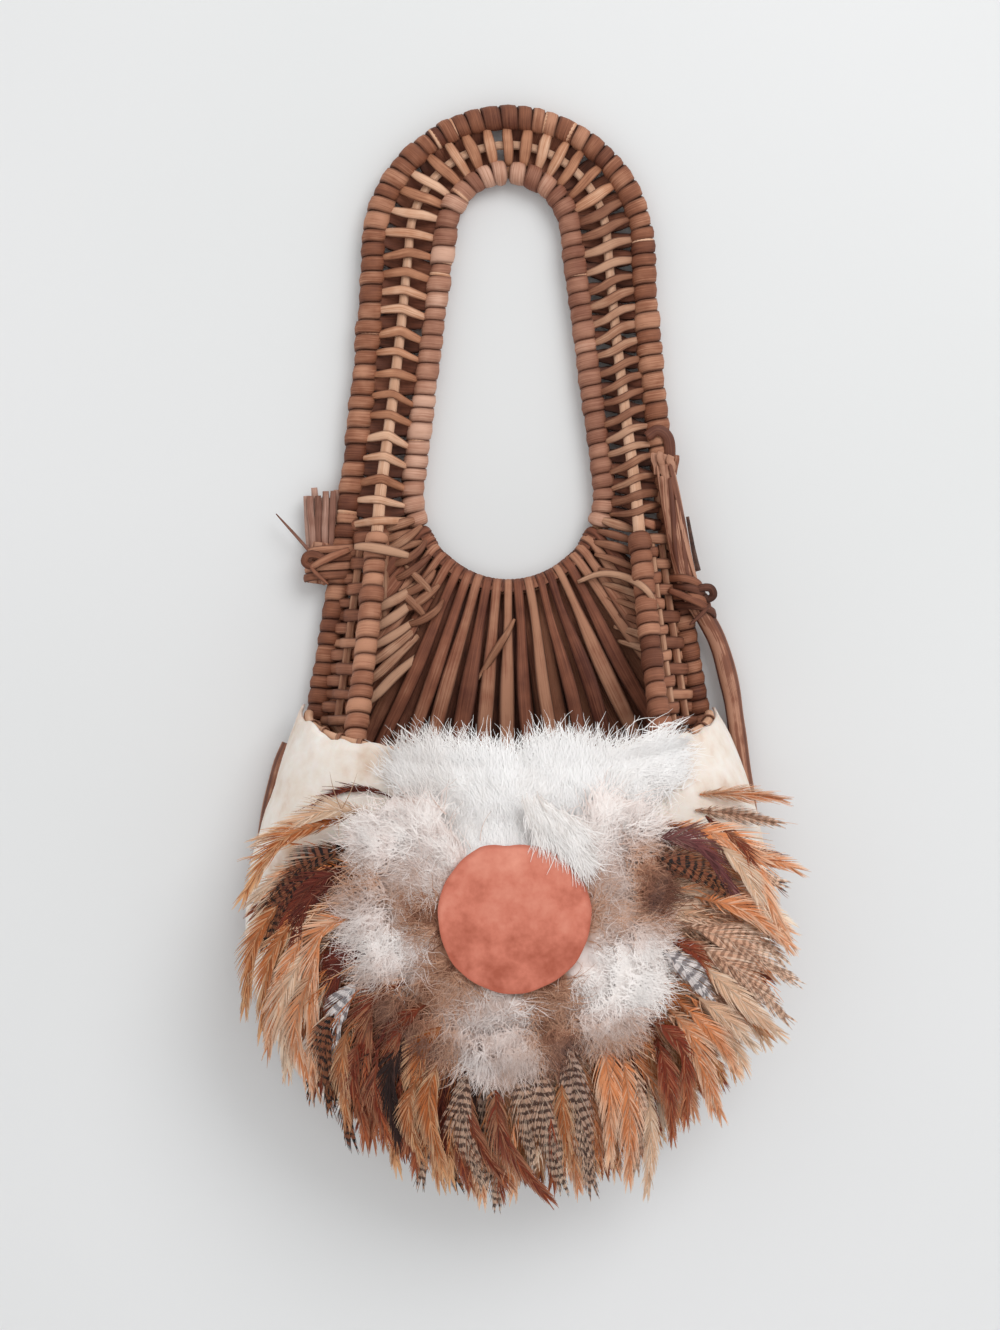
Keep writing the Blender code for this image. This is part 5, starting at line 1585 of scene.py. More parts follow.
@dataclass
class Weave(Assembly):
    """The pouch's own woven walls: its flat back, its domed front and the rods they cling to."""

    row: float = 5.3 * MM
    width: float = 5.0 * MM
    thickness: float = 1.3 * MM
    stake_pitch: float = 15 * MM
    back_row: float = 4.9 * MM
    back_middle: float = -1.55 * MM
    wall: float = -3.0 * MM
    rod_spacing: float = 21 * MM
    rod_count: int = 5
    rod_wall: float = -9.2 * MM
    rim_offset: float = -3.95 * MM
    rim_rod: float = 2.0 * MM
    # The stations' spacing along a row of the back, and how long a row dips behind a rod
    station: float = 2.4 * MM
    dip: float = 5.5 * MM

    def build(self) -> None:
        """Builds the back, the front and the rim."""
        self.back()
        self.front()
        self.rim()

    def back_half_width(self, level: float) -> float:
        """Half the back panel's width at a height."""
        inset = PLAN.vine_inset + PLAN.vine_radius + 0.9 * MM
        high = (PLAN.pouch_up if level > PLAN.pouch_level else PLAN.pouch_down) - inset
        inside = 1 - ((level - PLAN.pouch_level) / high) ** 2
        return (PLAN.pouch_half_width - inset) * sqrt(max(inside, 0.0))

    def back(self) -> None:
        """Weaves the flat back: upright stakes and rows packed tight over and under them."""
        strips = Strips(91)
        chance = strips.rng.uniform
        arch = self.rods.fan_rod.points
        top, bottom = PLAN.rim_level - 12.5 * MM, PLAN.pouch_level - PLAN.pouch_down + 11 * MM
        levels = np.arange(top, bottom, -self.back_row)
        for row, level in enumerate(levels):
            half = self.back_half_width(level)
            above = arch[:, 2] - 6.5 * MM > level
            hollow = float(np.abs(arch[~above, 0]).max()) if (~above).any() else 0.0
            spans = [(-half, half)] if hollow < 2 * MM else [(-half, -hollow), (hollow, half)]
            for start, end in spans:
                x = np.linspace(start, end, max(10, int((end - start) / self.station)))
                y = self.back_middle + 0.6 * MM * np.cos(pi * x / self.stake_pitch + pi * row)
                z = level + 0.3 * MM * np.sin(x * 55 + row)
                strips.put(joined(x, y, z), FRONT, self.back_row * chance(1.14, 1.24), 1.1 * MM,
                           chance(0.1, 0.9))
        for i in range(-6, 6):
            x = (i + 0.5) * self.stake_pitch
            spots = np.linspace(top, bottom, 60)
            inside = [z for z in spots if self.back_half_width(z) > abs(x) + 4 * MM
                      and z < np.interp(x, arch[:, 0], arch[:, 2]) - 6 * MM]
            z = np.linspace(inside[0], inside[-1], 60)
            y = self.back_middle - 0.4 * MM * np.cos(pi * (z - top) / self.back_row + pi * i)
            strips.put(joined(x, y, z), FRONT, 3.6 * MM, 0.8 * MM, 0.3)
        self.shop.dress("woven_back", strips, RIB_BARK, "back_panel")

    def hoop_row(self, level: float, tilt: float, offset: Callable[[Array], Array],
                 count: int, ends: float) -> tuple[Array, Array]:
        """One row round the domed front.

        Args:
            level: its height at the pouch's back edge.
            tilt: how far it follows the rim's slope, from 0 to 1.
            offset: how far it stands out from the pouch's surface, by its place aside.
            count: its stations.
            ends: the angle that is left off at each end.

        Returns:
            Its points and the directions out from the dome.
        """
        angle = np.linspace(ends, pi - ends, count)
        depth, grown = np.zeros(count), np.zeros(count)
        for _ in range(14):
            z = level - PLAN.rim_slope * tilt * depth
            above = z - PLAN.pouch_level
            high = np.where(above > 0, PLAN.pouch_up, PLAN.pouch_down) + grown
            shrink = np.sqrt(np.maximum(1 - (above / high) ** 2, 0.0))
            x = (PLAN.pouch_half_width + grown) * np.cos(angle) * shrink
            depth = (PLAN.pouch_bulge + grown) * np.sin(angle) * shrink
            grown = offset(x)
        points = joined(x, PLAN.edge_plane - depth, z)
        points[:, 0] += PLAN.corner_pull(points)
        out = joined(x / PLAN.pouch_half_width**2, -depth / PLAN.pouch_bulge**2,
                     above / high**2)
        return points, unit(out)

    def front(self) -> None:
        """Weaves the domed front in rows that dip behind every other rod."""
        strips = Strips(92)
        chance = strips.rng.uniform
        rods = (np.arange(self.rod_count) - (self.rod_count - 1) / 2) * self.rod_spacing
        top, bottom = PLAN.rim_level - 2.5 * MM, PLAN.pouch_level - PLAN.pouch_down + 9 * MM
        levels = np.arange(top, bottom, -self.row)
        for row, level in enumerate(levels):
            tilt = float(smooth_step(np.array(level), PLAN.pouch_level - 30 * MM, PLAN.rim_level))

            def offset(x: Array, row: int = row) -> Array:
                """How deep the row lies, behind the rods that it passes inside."""
                dips = [(i + row) % 2 * np.exp(-((x - rod) / self.dip) ** 2)
                        for i, rod in enumerate(rods)]
                ripple = 0.35 * MM * np.cos(pi * x / (self.rod_spacing / 2) + pi * row)
                return self.wall + (self.rod_wall - self.wall) * np.sum(dips, axis=0) + ripple

            count = 84 if level > PLAN.pouch_level - 60 * MM else 48
            points, out = self.hoop_row(float(level), tilt, offset, count, 0.07)
            strips.put(points, out, self.width * chance(0.92, 1.08), self.thickness,
                       chance(0.1, 0.9))
        self.shop.dress("woven_pouch_front", strips, RIB_BARK, "woven_front")

    def rim(self) -> None:
        """The rod on the woven wall's top edge, with the strip that ties it down."""
        rise = (self.rim_rod + 0.3 * MM) * sqrt(1 + PLAN.rim_slope**2)
        points, _ = self.hoop_row(PLAN.rim_level + rise, 1.0,
                                  lambda x: np.full_like(x, self.rim_offset), 120, 0.10)
        tubes = Tubes(10, 93)
        tubes.run(points, self.rim_rod, ridges=0.05)
        self.shop.dress("rim_cane", tubes, CANE, "rim_rod")
        strips, spine = Strips(94), Spine(points)
        turns = np.arange(9 * MM, spine.length - 9 * MM, 11 * MM)
        for here, tangent in zip(spine.at(turns), spine.tangent(turns)):
            across = unit(np.cross(UP, tangent))
            angle = np.linspace(-0.9, pi + 0.9, 14)[:, None]
            out = across * np.cos(angle) + UP * np.sin(angle)
            strips.put(here + out * (self.rim_rod + 0.5 * MM) + tangent * angle * 0.6 * MM, out,
                       2.6 * MM, 0.8 * MM, strips.rng.uniform(0.1, 0.9))
        self.shop.dress("rim_ties", strips, TAN_STRIP)


@dataclass
class RawhideCover(Assembly):
    """The skin stretched over the woven front: cream, wrinkled, with an uneven top edge."""

    segments: int = 120
    rings: int = 84
    thickness: float = 1.2 * MM
    edge_lift: float = 4.6 * MM

    def build(self) -> None:
        """Cuts the skin from an egg shape and wrinkles it."""
        bm = bmesh.new()
        bmesh.ops.create_uvsphere(bm, u_segments=self.segments, v_segments=self.rings, radius=1.0)
        for vert in bm.verts:
            high = PLAN.pouch_up if vert.co.z > 0 else PLAN.pouch_down
            vert.co.x *= PLAN.pouch_half_width
            vert.co.y = PLAN.edge_plane + vert.co.y * PLAN.pouch_bulge
            vert.co.z = PLAN.pouch_level + vert.co.z * high
        cuts = (((0, PLAN.edge_plane, 0), (0, 1, 0)),
                ((0, PLAN.edge_plane, PLAN.rim_level + self.edge_lift), (0, -PLAN.rim_slope, 1)))
        for spot, way in cuts:
            bmesh.ops.bisect_plane(bm, geom=[*bm.verts, *bm.edges, *bm.faces], plane_co=spot,
                                   plane_no=way, clear_outer=True, dist=1e-6)
        bmesh.ops.recalc_face_normals(bm, faces=bm.faces)
        mesh = baked(bm, "rawhide_skin")
        self.wrinkle(mesh)
        mesh.shade_smooth()
        piece = place_piece("rawhide_skin", mesh, self.shop.material(RAWHIDE), RAWHIDE.slot,
                            "rawhide_cover")
        thicken(piece, self.thickness)

    def wrinkle(self, mesh: bpy.types.Mesh) -> None:
        """Moves the skin's points: soft dents, an uneven edge and a shrunken left corner."""
        flat = np.empty(len(mesh.vertices) * 3, np.float32)
        mesh.vertices.foreach_get("co", flat)
        co = flat.reshape(-1, 3).astype(float)
        x, depth, z = co[:, 0], PLAN.edge_plane - co[:, 1], co[:, 2]
        rim = PLAN.rim_at(depth) + self.edge_lift - z
        near_rim = np.exp(-rim / (7 * MM))
        dents = (np.sin(x * 130 + 2 * np.sin(z * 90)) * np.sin(z * 155 + 1.3 * np.sin(x * 70))
                 + 0.5 * np.sin(x * 320 + z * 210) + 0.4 * np.sin(z * 410 - x * 150))
        free = smooth_step(depth, 0.0, 12 * MM)
        out = unit(joined(x / PLAN.pouch_half_width**2, -depth / PLAN.pouch_bulge**2,
                          (z - PLAN.pouch_level) / PLAN.pouch_up**2))
        co += out * (0.35 * MM * dents * free)[:, None]
        ragged = 1.1 * np.sin(x * 210) + 0.8 * np.sin(x * 471 + 1) + 0.5 * np.sin(x * 950 + 2)
        co[:, 2] += ragged * MM * near_rim
        co[:, 0] += PLAN.corner_pull(co)
        mesh.vertices.foreach_set("co", co.astype(np.float32).ravel())


# Feathers, down and fur

class Row(Enum):
    """The layers of feathers on the hide: root and tip distances, lift, count and nodes."""

    UNDER = ("under", 54.0, 101.0, 0.6, 60, ())
    OUTER = ("outer", 48.0, 106.0, 2.0, 96, ("outer_feather_row",))
    MIDDLE = ("middle", 38.0, 91.0, 3.8, 66, ("middle_feather_row",))


# The dark feathers of the lowest layer, which show in the gaps: chosen dark as painted shade there
UNDER_SHADE_KINDS = ("RUST", "MAHOGANY", "MAHOGANY", "NIGHT")

# For each sector round the disc, in degrees from its right, the feathers seen there
SECTORS: tuple[tuple[float, dict[str, int]], ...] = (
    (18.0, {"AMBER": 5, "GOLDEN": 2, "CREAM": 2}),
    (0.0, {"SPECKLED": 3, "AMBER": 3, "CREAM": 3}),
    (-25.0, {"SPECKLED": 3, "CREAM": 3, "GOLDEN": 2, "AMBER": 2}),
    (-48.0, {"GOLDEN": 4, "AMBER": 4, "CREAM": 2, "MAHOGANY": 1}),
    (-68.0, {"CREAM": 2, "GOLDEN": 3, "AMBER": 3, "GRIZZLY": 1}),
    (-92.0, {"AMBER": 3, "GRIZZLY": 2, "GOLDEN": 4, "RUST": 1}),
    (-112.0, {"BLACK": 1, "GRIZZLY": 1, "GOLDEN": 3, "RUST": 3}),
    (-134.0, {"RUST": 4, "GOLDEN": 3, "MAHOGANY": 2, "NIGHT": 1}),
    (-156.0, {"GOLDEN": 4, "AMBER": 3, "CREAM": 3, "RUST": 1, "NIGHT": 1}),
    (-176.0, {"GOLDEN": 4, "AMBER": 2, "RUST": 2, "CREAM": 2, "NIGHT": 1}),
    (-200.0, {"GOLDEN": 4, "AMBER": 2, "CREAM": 2, "RUST": 1}),
)

# The feathers that show whole, from beneath to the top: kind, half width and, for root,
# middle and tip, the place aside and the height, all in millimetres
PLUMES: tuple[tuple[str, float, tuple[int, int], tuple[int, int], tuple[int, int]], ...] = (
    ("CREAM", 6.0, (-53, -258), (-72, -258), (-99, -270)),
    ("GOLDEN", 5.0, (-62, -260), (-88, -269), (-105, -293)),
    ("GOLDEN", 4.5, (-81, -284), (-99, -308), (-105, -337)),
    ("GOLDEN", 4.5, (-76, -291), (-93, -315), (-98, -346)),
    ("AMBER", 4.2, (-73, -294), (-88, -323), (-96, -354)),
    ("CREAM", 5.5, (-71, -299), (-87, -329), (-88, -361)),
    ("AMBER", 5.0, (-69, -306), (-83, -338), (-80, -364)),
    ("NIGHT", 6.2, (-64, -277), (-84, -288), (-96, -309)),
    ("NIGHT", 6.5, (-58, -271), (-77, -277), (-95, -295)),
    ("MAHOGANY", 6.0, (-60, -282), (-77, -292), (-85, -313)),
    ("MAHOGANY", 5.6, (-58, -278), (-78, -288), (-93, -313)),
    ("NIGHT", 5.5, (-64, -329), (-71, -346), (-71, -375)),
    ("GOLDEN", 5.5, (-61, -335), (-65, -356), (-64, -381)),
    ("RUST", 6.0, (-55, -339), (-61, -359), (-57, -383)),
    ("FROST", 5.0, (-54, -319), (-64, -332), (-70, -357)),
    ("MAHOGANY", 6.2, (-46, -312), (-64, -316), (-71, -346)),
    ("AMBER", 5.6, (-52, -297), (-74, -307), (-77, -360)),
    ("RUST", 5.5, (-50, -347), (-52, -366), (-48, -387)),
    ("RUST", 8.0, (-33, -320), (-53, -332), (-56, -370)),
    ("RUST", 7.5, (-27, -328), (-42, -341), (-49, -372)),
    ("GOLDEN", 6.5, (-20, -334), (-33, -350), (-37, -384)),
    ("BLACK", 6.0, (-37, -340), (-46, -360), (-44, -388)),
    ("GOLDEN", 5.0, (-34, -354), (-39, -375), (-35, -395)),
    ("GOLDEN", 5.5, (-25, -346), (-31, -370), (-26, -401)),
    ("RUST", 5.5, (-19, -352), (-15, -380), (-1, -406)),
    ("RUST", 5.0, (-5, -353), (-3, -383), (15, -413)),
    ("GRIZZLY", 6.0, (-13, -350), (-18, -374), (-11, -405)),
    ("GRIZZLY", 6.0, (5, -349), (6, -370), (9, -396)),
    ("GOLDEN", 6.0, (20, -354), (21, -374), (23, -396)),
    ("GRIZZLY", 6.0, (12, -343), (14, -374), (21, -407)),
    ("CREAM", 3.6, (54, -363), (56, -385), (56, -415)),
    ("AMBER", 6.0, (43, -344), (47, -373), (48, -406)),
    ("SPECKLED", 5.0, (49, -354), (51, -375), (51, -402)),
    ("AMBER", 8.5, (35, -339), (39, -363), (40, -396)),
    ("GRIZZLY", 6.5, (21, -336), (25, -363), (33, -408)),
    ("RUST", 6.0, (56, -341), (62, -362), (65, -388)),
    ("RUST", 7.2, (48, -334), (67, -349), (70, -380)),
    ("AMBER", 4.2, (63, -336), (74, -355), (81, -378)),
    ("AMBER", 5.0, (59, -331), (72, -347), (85, -381)),
    ("AMBER", 6.0, (63, -329), (79, -344), (91, -362)),
    ("CREAM", 5.2, (67, -325), (85, -339), (97, -352)),
    ("CREAM", 5.0, (69, -311), (88, -329), (108, -348)),
    ("SPECKLED", 6.5, (65, -304), (88, -319), (110, -341)),
    ("SPECKLED", 6.5, (63, -300), (86, -308), (113, -326)),
    ("RUST", 5.0, (58, -306), (72, -312), (83, -328)),
    ("FROST", 6.5, (53, -307), (68, -318), (81, -336)),
    ("AMBER", 6.0, (72, -291), (91, -296), (111, -312)),
    ("NIGHT", 7.5, (49, -273), (71, -280), (88, -292)),
    ("RUST", 4.0, (77, -260), (91, -272), (99, -288)),
    ("AMBER", 6.2, (61, -262), (89, -272), (110, -310)),
    ("CREAM", 4.4, (76, -266), (91, -280), (102, -303)),
    ("PLUM", 6.8, (51, -268), (72, -270), (90, -292)),
)


@dataclass
class Feathers(Assembly):
    """The rows of feathers fanned round the disc, each with its shaft and separate barbs."""

    first: float = 21.0
    last: float = -201.0
    barbs: int = 92
    barb_rows: int = 5
    loose: int = 26
    # Lone barbs over the feathers: how many, and their roots' and tips' distances in mm
    wisps: int = 130
    wisp_root: float = 54.0
    wisp_tip: float = 100.0
    plume_width: float = 0.98
    left_droop: float = 1.45
    right_droop: float = 0.8
    plume_lift: float = 9.8
    plume_step: float = 0.06
    rng: np.random.Generator = field(default_factory=lambda: np.random.default_rng(101))

    def build(self) -> None:
        """Lays the rows and then the feathers that show whole, one piece for each kind."""
        for row in Row:
            name, root, tip, lift, count, nodes = row.value
            strands: dict[str, Strands] = {}
            for i in range(count):
                angle = self.first + (self.last - self.first) * (i + self.rng.uniform(0.1, 0.9)) / count
                kind = self.kind(angle) if nodes else UNDER_SHADE_KINDS[i % len(UNDER_SHADE_KINDS)]
                self.one(strands.setdefault(kind, Strands()), angle, root, tip, lift)
            self.dress(name, strands, *nodes)
        strands = {}
        for i, (kind, half, *spots) in enumerate(PLUMES):
            line = smooth_through(np.array(spots) * MM, 20)
            steps = np.gradient(line, axis=0)
            self.lay(strands.setdefault(kind, Strands()), line, np.arctan2(steps[:, 1], steps[:, 0]),
                     half * self.plume_width * MM, self.plume_lift + self.plume_step * i)
        for _ in range(self.wisps):
            angle = self.rng.uniform(self.last, self.first)
            self.one(strands.setdefault(self.kind(angle), Strands()), angle, self.wisp_root,
                     self.wisp_tip, self.rng.uniform(5.0, 10.4), bare=True)
        self.dress("whole", strands)

    def dress(self, name: str, strands: dict[str, Strands], *nodes: str) -> None:
        """Makes each kind of a row's feathers a piece."""
        for kind, lattice in strands.items():
            self.shop.dress(f"{name}_row_{kind.lower()}", lattice, Plumage[kind].value, *nodes)

    def kind(self, angle: float) -> str:
        """Chooses a feather's kind from what its sector shows."""
        place = angle + self.rng.normal(0, 5.0)
        nearest = min(SECTORS, key=lambda sector: abs(sector[0] - place))
        weights = np.array(list(nearest[1].values()), float)
        return list(nearest[1])[int(self.rng.choice(len(weights), p=weights / weights.sum()))]

    def one(self, lattice: Strands, angle: float, root: float, tip: float, lift: float,
            bare: bool = False) -> None:
        """Lays one feather of a row.

        Args:
            lattice: the strands that it joins.
            angle: its root's direction from the disc, in degrees.
            root: its root's distance from the disc's centre, in millimetres.
            tip: its tip's distance, if it ran straight.
            lift: its height above the hide, in millimetres.
            bare: whether only its loose barbs are laid.
        """
        rng = self.rng
        way = radians(angle)
        start = (root + rng.uniform(-5, 5)) * MM
        low = max(-np.sin(way), 0.0) ** 2
        length = (tip + 4 * low - root) * MM * rng.uniform(0.86, 1.08) * 1.06
        left = np.cos(way) < 0
        droop = (self.left_droop if left else self.right_droop) * rng.uniform(0.75, 1.2)
        turn = -droop * np.cos(way)
        heading = way + rng.normal(0, 0.10) - turn * 0.12
        share = np.linspace(0, 1, SHAFT_STEPS + 1)
        aim = heading + turn * share ** (0.85 if left else 1.15) \
            + 0.10 * rng.normal() * np.sin(pi * share)
        flat = headings(aim)
        line = np.vstack((np.zeros((1, 2)), (flat[1:] + flat[:-1]) / 2 * length / SHAFT_STEPS))
        aside, level = PLAN.disc_centre
        line = line.cumsum(axis=0) + (aside + start * np.cos(way), level + start * np.sin(way))
        half = 0.0 if bare else rng.uniform(3.7, 6.0) * MM
        self.lay(lattice, line, aim, half, lift + rng.uniform(-0.6, 0.8))

    def lay(self, lattice: Strands, line: Array, aim: Array, half: float, lift: float) -> None:
        """Lays a feather along a line on the flat.

        Args:
            lattice: the strands that it joins.
            line: its shaft's places aside and heights.
            aim: the shaft's direction at each, as an angle.
            half: the vane's half width, or 0 for its loose barbs alone.
            lift: its height above the hide, in millimetres.
        """
        rng = self.rng
        curl, roll = rng.uniform(-0.8, 2.0), rng.uniform(-0.16, 0.16)

        def lifted(spots: Array, along: Array, across: Array) -> Array:
            """Flat points at their height over the hide, rising from the root."""
            x, z = spots[..., 0], spots[..., 1]
            rise = lift * mix(0.2, 1.0, smooth_step(along, 0.0, 0.26)) + curl * along**2 * 1.5
            rise = rise * (1 - 0.3 * smooth_step(along, 0.4, 1.0))
            depth = PLAN.feather_depth(x, z) + rise * MM
            depth = depth - 0.9 * MM * (across / max(half, MM)) ** 2 + roll * across
            return joined(x, PLAN.edge_plane - depth, z)

        length = float(np.linalg.norm(np.diff(line, axis=0), axis=1).sum())
        if half:
            self.vane(lattice, line, aim, length, half, lifted)
            self.shaft(lattice, line, length, lifted)
        self.strays(lattice, line, aim, length, lifted)

    def light(self, points: Array, across: Array) -> Array:
        """How vanes take the light: as the rounded front does, and rolling over at their sides."""
        aside, level = PLAN.disc_centre
        away = (points - (aside, 0.0, level)) * (1.0, 0.0, 1.0) / PLAN.feather_spread
        return unit(FRONT + 0.8 * away + across)

    def vane(self, lattice: Strands, line: Array, aim: Array, length: float, half: float,
             lifted: Lift) -> None:
        """Lays the barbs on both sides of a shaft.

        Args:
            lattice: the strands that they join.
            line: the shaft's points on the flat.
            aim: the shaft's direction at each, as an angle.
            length: the feather's length.
            half: the vane's half width.
            lifted: puts flat points at their height.
        """
        rng, rows, barbs = self.rng, self.barb_rows, self.barbs
        tone = rng.uniform(0, 1)
        share = (np.arange(barbs) + 0.5) / barbs
        places = np.linspace(0, 1, len(line))
        t = np.linspace(0, 1, rows)[None, :]
        for side in (-1.0, 1.0):
            base = line_at(line, share * 0.985)
            facing = np.interp(share, places, aim)
            clump = np.sin(share * rng.uniform(16, 34) + rng.uniform(0, 6))
            swell = (smooth_step(share, -0.04, 0.36) * (1 - smooth_step(share, 0.45, 1.1))) ** 0.75
            reach = half * mix(0.22, 1.0, swell) * rng.uniform(0.7, 1.15, barbs)
            lean = mix(0.56, 0.2, smooth_step(share, 0.0, 0.85)) + 0.06 * clump
            lean = lean + rng.normal(0, 0.05, barbs) + 0.3 * (share < 0.22) * rng.normal(0, 1, barbs)
            swing = np.clip(lean, 0.15, 1.2)[:, None] * (1 - 0.6 * t)
            run = reach / np.sin(swing[:, :-1]).mean(axis=1)
            run = np.minimum(run, length * mix(0.40, 0.15, share))
            direction = facing[:, None] + side * swing
            part = run[:, None] / (rows - 1)
            flat = headings(direction)
            spots = base[:, None] + (np.cumsum(flat, axis=1) - flat) * part[..., None]
            ahead = (np.cumsum(np.cos(swing), axis=1) - np.cos(swing)) * part
            across = side * reach[:, None] * t
            points = lifted(spots, share[:, None] + 0 * t, across)
            width = length / barbs * 1.6 * np.sin(np.clip(lean, 0.5, 1.2))[:, None] * (1 - 0.8 * t**2)
            fibre = joined(across, share[:, None] * length + ahead)
            place = joined(t, share[:, None])
            tones = np.clip(tone + rng.normal(0, 0.2, barbs), 0, 1)
            turned = joined(-np.sin(facing), 0.0, np.cos(facing))[:, None]
            rolling = turned * (side * 0.5 * t[..., None] + rng.normal(0, 0.16, (barbs, 1, 1)))
            lattice.grow(points, FRONT[None, None], width, fibre, place, tones,
                         self.light(points, rolling))

    def strays(self, lattice: Strands, line: Array, aim: Array, length: float,
               lifted: Lift) -> None:
        """Lays the loose barbs that stray from a feather, most of them past its tip."""
        rng, rows, count = self.rng, self.barb_rows, self.loose
        share = rng.beta(3.0, 1.6, count)
        places, t = np.linspace(0, 1, len(line)), np.linspace(0, 1, rows)[None]
        base = line_at(line, share)
        side = rng.choice((-1.0, 1.0), count)
        swing = side[:, None] * rng.uniform(0.05, 0.5, (count, 1)) * (1 - 0.9 * t)
        direction = np.interp(share, places, aim)[:, None] + swing
        run = rng.uniform(5.0, 14.0, count) * MM * mix(1.0, 0.7, share)
        moves = headings(direction) * run[:, None, None] / (rows - 1)
        spots = base[:, None] + np.cumsum(moves, axis=1) - moves
        points = lifted(spots, share[:, None] + 0 * t, 0 * spots[..., 0]) + FRONT * 0.5 * MM
        along = np.minimum(share[:, None] + t * run[:, None] / length, 1.0)
        fibre = joined(rng.uniform(0, 0.01, (count, 1)), along * length)
        lattice.grow(points, FRONT[None, None], 0.4 * MM * (1 - 0.7 * t), fibre,
                     joined(0.2, along), rng.uniform(0, 1, count),
                     self.light(points, np.zeros(3)))

    def shaft(self, lattice: Strands, line: Array, length: float,
              lifted: Lift) -> None:
        """Lays the shaft over the barbs' roots, in short stretches of the barbs' own rows."""
        rows, stretches = self.barb_rows, 5
        count = stretches * (rows - 1) + 1
        share = np.linspace(0, 0.97, count)
        points = lifted(line_at(line, share), share, np.zeros(count)) + FRONT * 0.35 * MM
        index = np.arange(stretches)[:, None] * (rows - 1) + np.arange(rows)[None]
        width = (0.8 * MM * (1 - 0.8 * share))[index]
        fibre = joined(0.0, share * length)[index]
        place = joined(0.0, np.clip(share + 0.25, 0, 1))[index]
        lattice.grow(points[index], FRONT[None, None], width, fibre, place, np.full(stretches, 0.9),
                     self.light(points[index], np.zeros(3)))


